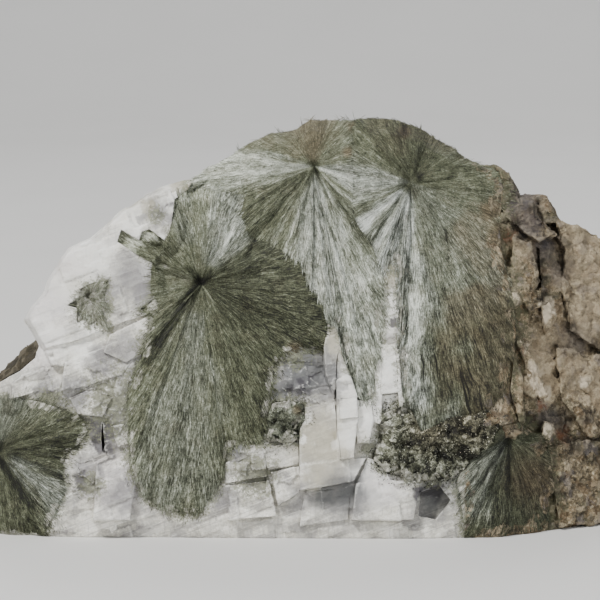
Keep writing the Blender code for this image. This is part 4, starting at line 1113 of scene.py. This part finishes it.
def make_crust(name, node, count, sizes, lift, base, contrast, brown_at, ragged):
    skin_points, skin_triangles, skin_open = cut_fine(node, lambda points: 0.45)
    rim = Rim(node, skin_points, skin_triangles, skin_open)
    deep = {}

    def relief(points, normals):
        blocks, deep["block"], _ = chips(points, 2.4, 23, 0.7 * lift, 0.4)
        bits, deep["bit"], _ = chips(points, 1.0, 29, 0.35 * lift, 0.3)
        return blocks + bits + 0.8 * lift * grain(points, 2.2, 4)

    def reach_of(points):
        share = np.clip(0.5 + 1.1 * grain(points / MM, 2.4, 3, 50.0), 0, 1)
        return ragged[0] + (ragged[1] - ragged[0]) * share

    skin_points = roughen(skin_points, skin_triangles, skin_open, relief)
    skin_points = rim.seat(skin_points, skin_triangles, skin_open)
    away = facings(skin_points, skin_triangles[skin_open])
    areas = np.linalg.norm(away, axis=1)
    facing = unit(away)
    middles = skin_points[skin_triangles[skin_open]].mean(1)
    chosen = needle_draw.choice(len(areas), count, p=areas / areas.sum())
    middles, facing = middles[chosen], facing[chosen]
    host, rock, _ = rim.host(middles, reach_of(middles))
    kept = (host < 0.5) | (needle_draw.random(count) < 0.15)
    stray_spots, stray_normals = rim.strays(np.mean(sheet(middles)[:2], 1), count // 6, 2.5)
    middles = np.concatenate((middles[kept], stray_spots))
    facing = np.concatenate((facing[kept], stray_normals))
    count = len(middles)
    along = unit(unit(needle_draw.normal(0, 1, (count, 3))) + 0.3 * facing)
    up = unit(np.cross(along, needle_draw.normal(0, 1, (count, 3))))
    size = needle_draw.uniform(*sizes, count)
    points, triangles = needle_mesh(middles, along, up, size, size * 0.6)
    grain_u, grain_v, _ = sheet(middles)
    skin_u, skin_v, _ = sheet(skin_points)
    chance = contrast * (0.7 * needle_draw.random(count) ** 4 - 0.14)
    skin_host, skin_rock, _ = rim.host(skin_points, reach_of(skin_points))
    block_tone = contrast * 0.5 * ((0.4 * deep["block"] + 0.6 * deep["bit"]) ** 2 - 0.3)
    none = np.zeros(5 * count)
    clumps = 0.3 * contrast * grain(np.stack((grain_u, grain_v, 0 * grain_u), 1), 2.6, 3, 90.0)
    block_tone += 0.3 * contrast * grain(np.stack((skin_u, skin_v, 0 * skin_u), 1), 2.6, 3, 90.0)
    grain_tone = base(grain_u, grain_v) + chance + clumps
    marks = {
        "tone": np.concatenate((base(skin_u, skin_v) + block_tone, np.repeat(grain_tone, 5))),
        # A little painted sheen all over the crust.
        "silver_sheen": np.concatenate((0 * skin_u + 0.3, none + 0.3)),
        "brown": np.concatenate((brown_at(skin_u, skin_v), np.repeat(brown_at(grain_u, grain_v), 5))),
        "host": np.concatenate((skin_host, none)),
        "rock": np.concatenate((skin_rock, none)),
    }
    make_piece(
        name, np.concatenate((skin_points, points)),
        np.concatenate((skin_triangles, triangles + len(skin_points))), marks, granular, node,
    )


make_crust(
    "dark_granular_crust", "dark_crust", 12000, (0.16, 0.5), 0.7,
    lambda u, v: 0.26 + 0.30 * near(u, v, [(18.5, 21.0, 3.6), (20.5, 25.0, 2.6)], 0.6), 1.75,
    lambda u, v: 0.2 + 0.4 * near(u, v, [(34.0, 23.0, 5.0), (26.0, 22.0, 4.0)], 0.6), (0.3, 2.0),
)
make_crust(
    "green_granular_patch", "green_patch", 5000, (0.16, 0.42), 0.16,
    lambda u, v: 0.36 + 0 * u, 1.0,
    lambda u, v: 0.8 * near(u, v, [(-0.6, 26.0, 0.9)], 0.4), (0.2, 1.6),
)

# Stage
# A plain pale floor that curves up behind, soft light from the upper left and the front,
# and a camera where the photographer's eye was.

FLOOR_SIDE = 2.4
FLOOR_BEND = 0.9
floor_points = []
for row in range(25):
    if row < 12:
        back, up = -1.2 + row * 0.175, 0.0
    else:
        turn = (row - 12) / 12 * math.pi / 2
        back = FLOOR_BEND + 0.5 * math.sin(turn)
        up = 0.5 * (1 - math.cos(turn)) + (1.6 if row == 24 else 0.0)
    floor_points.append(((-FLOOR_SIDE, back, up), (FLOOR_SIDE, back, up)))
floor_mesh = bpy.data.meshes.new("floor")
corners = [point for pair in floor_points for point in pair]
quads = [(2 * row, 2 * row + 1, 2 * row + 3, 2 * row + 2) for row in range(len(floor_points) - 1)]
floor_mesh.from_pydata(corners, [], quads)
floor_mesh.polygons.foreach_set("use_smooth", [True] * len(quads))
floor = bpy.data.objects.new("floor", floor_mesh)
bpy.context.scene.collection.objects.link(floor)
card = Paint("pale_card")
card.set(Base_Color=card.blend(card.cloud(60.0, 2.0), colour(214, 213, 210), colour(220, 219, 216)))
card.set(Roughness=0.85, Specular_IOR_Level=0.2)
floor_mesh.materials.append(card.material)


def soft_light(name, where, aim, size, power, tint):
    lamp = bpy.data.lights.new(name, "AREA")
    lamp.shape = "DISK"
    lamp.size = size
    lamp.energy = power
    lamp.color = tint
    made = bpy.data.objects.new(name, lamp)
    made.location = where
    made.rotation_euler = (Vector(aim) - Vector(where)).to_track_quat("-Z", "Y").to_euler()
    bpy.context.scene.collection.objects.link(made)


soft_light("key", (-0.55, -0.6, 1.0), (0, 0, 0.04), 0.26, 19.0, (1.0, 0.99, 0.97))
soft_light("fill", (0.75, -0.8, 0.45), (0, 0, 0.04), 0.8, 4.5, (0.96, 0.98, 1.0))
soft_light("rim", (0.2, 0.8, 0.9), (0, 0, 0.05), 0.7, 5.0, (1.0, 1.0, 1.0))

world = bpy.data.worlds.new("soft_room")
world.use_nodes = True
world.node_tree.nodes["Background"].inputs["Color"].default_value = (0.9, 0.93, 1.0, 1.0)
world.node_tree.nodes["Background"].inputs["Strength"].default_value = 0.35
bpy.context.scene.world = world

FRAME_WIDTH = 120.0
lens = bpy.data.cameras.new("camera")
lens.sensor_width = 36.0
lens.lens = lens.sensor_width * EYE_DISTANCE / FRAME_WIDTH
lens.clip_end = 20.0
camera = bpy.data.objects.new("camera", lens)
camera.location = Vector(place(0.0, EYE_HEIGHT, -EYE_DISTANCE))
looks_at = Vector(place(0.0, EYE_HEIGHT, 0.0))
camera.rotation_euler = (looks_at - camera.location).to_track_quat("-Z", "Y").to_euler()
bpy.context.scene.collection.objects.link(camera)
bpy.context.scene.camera = camera
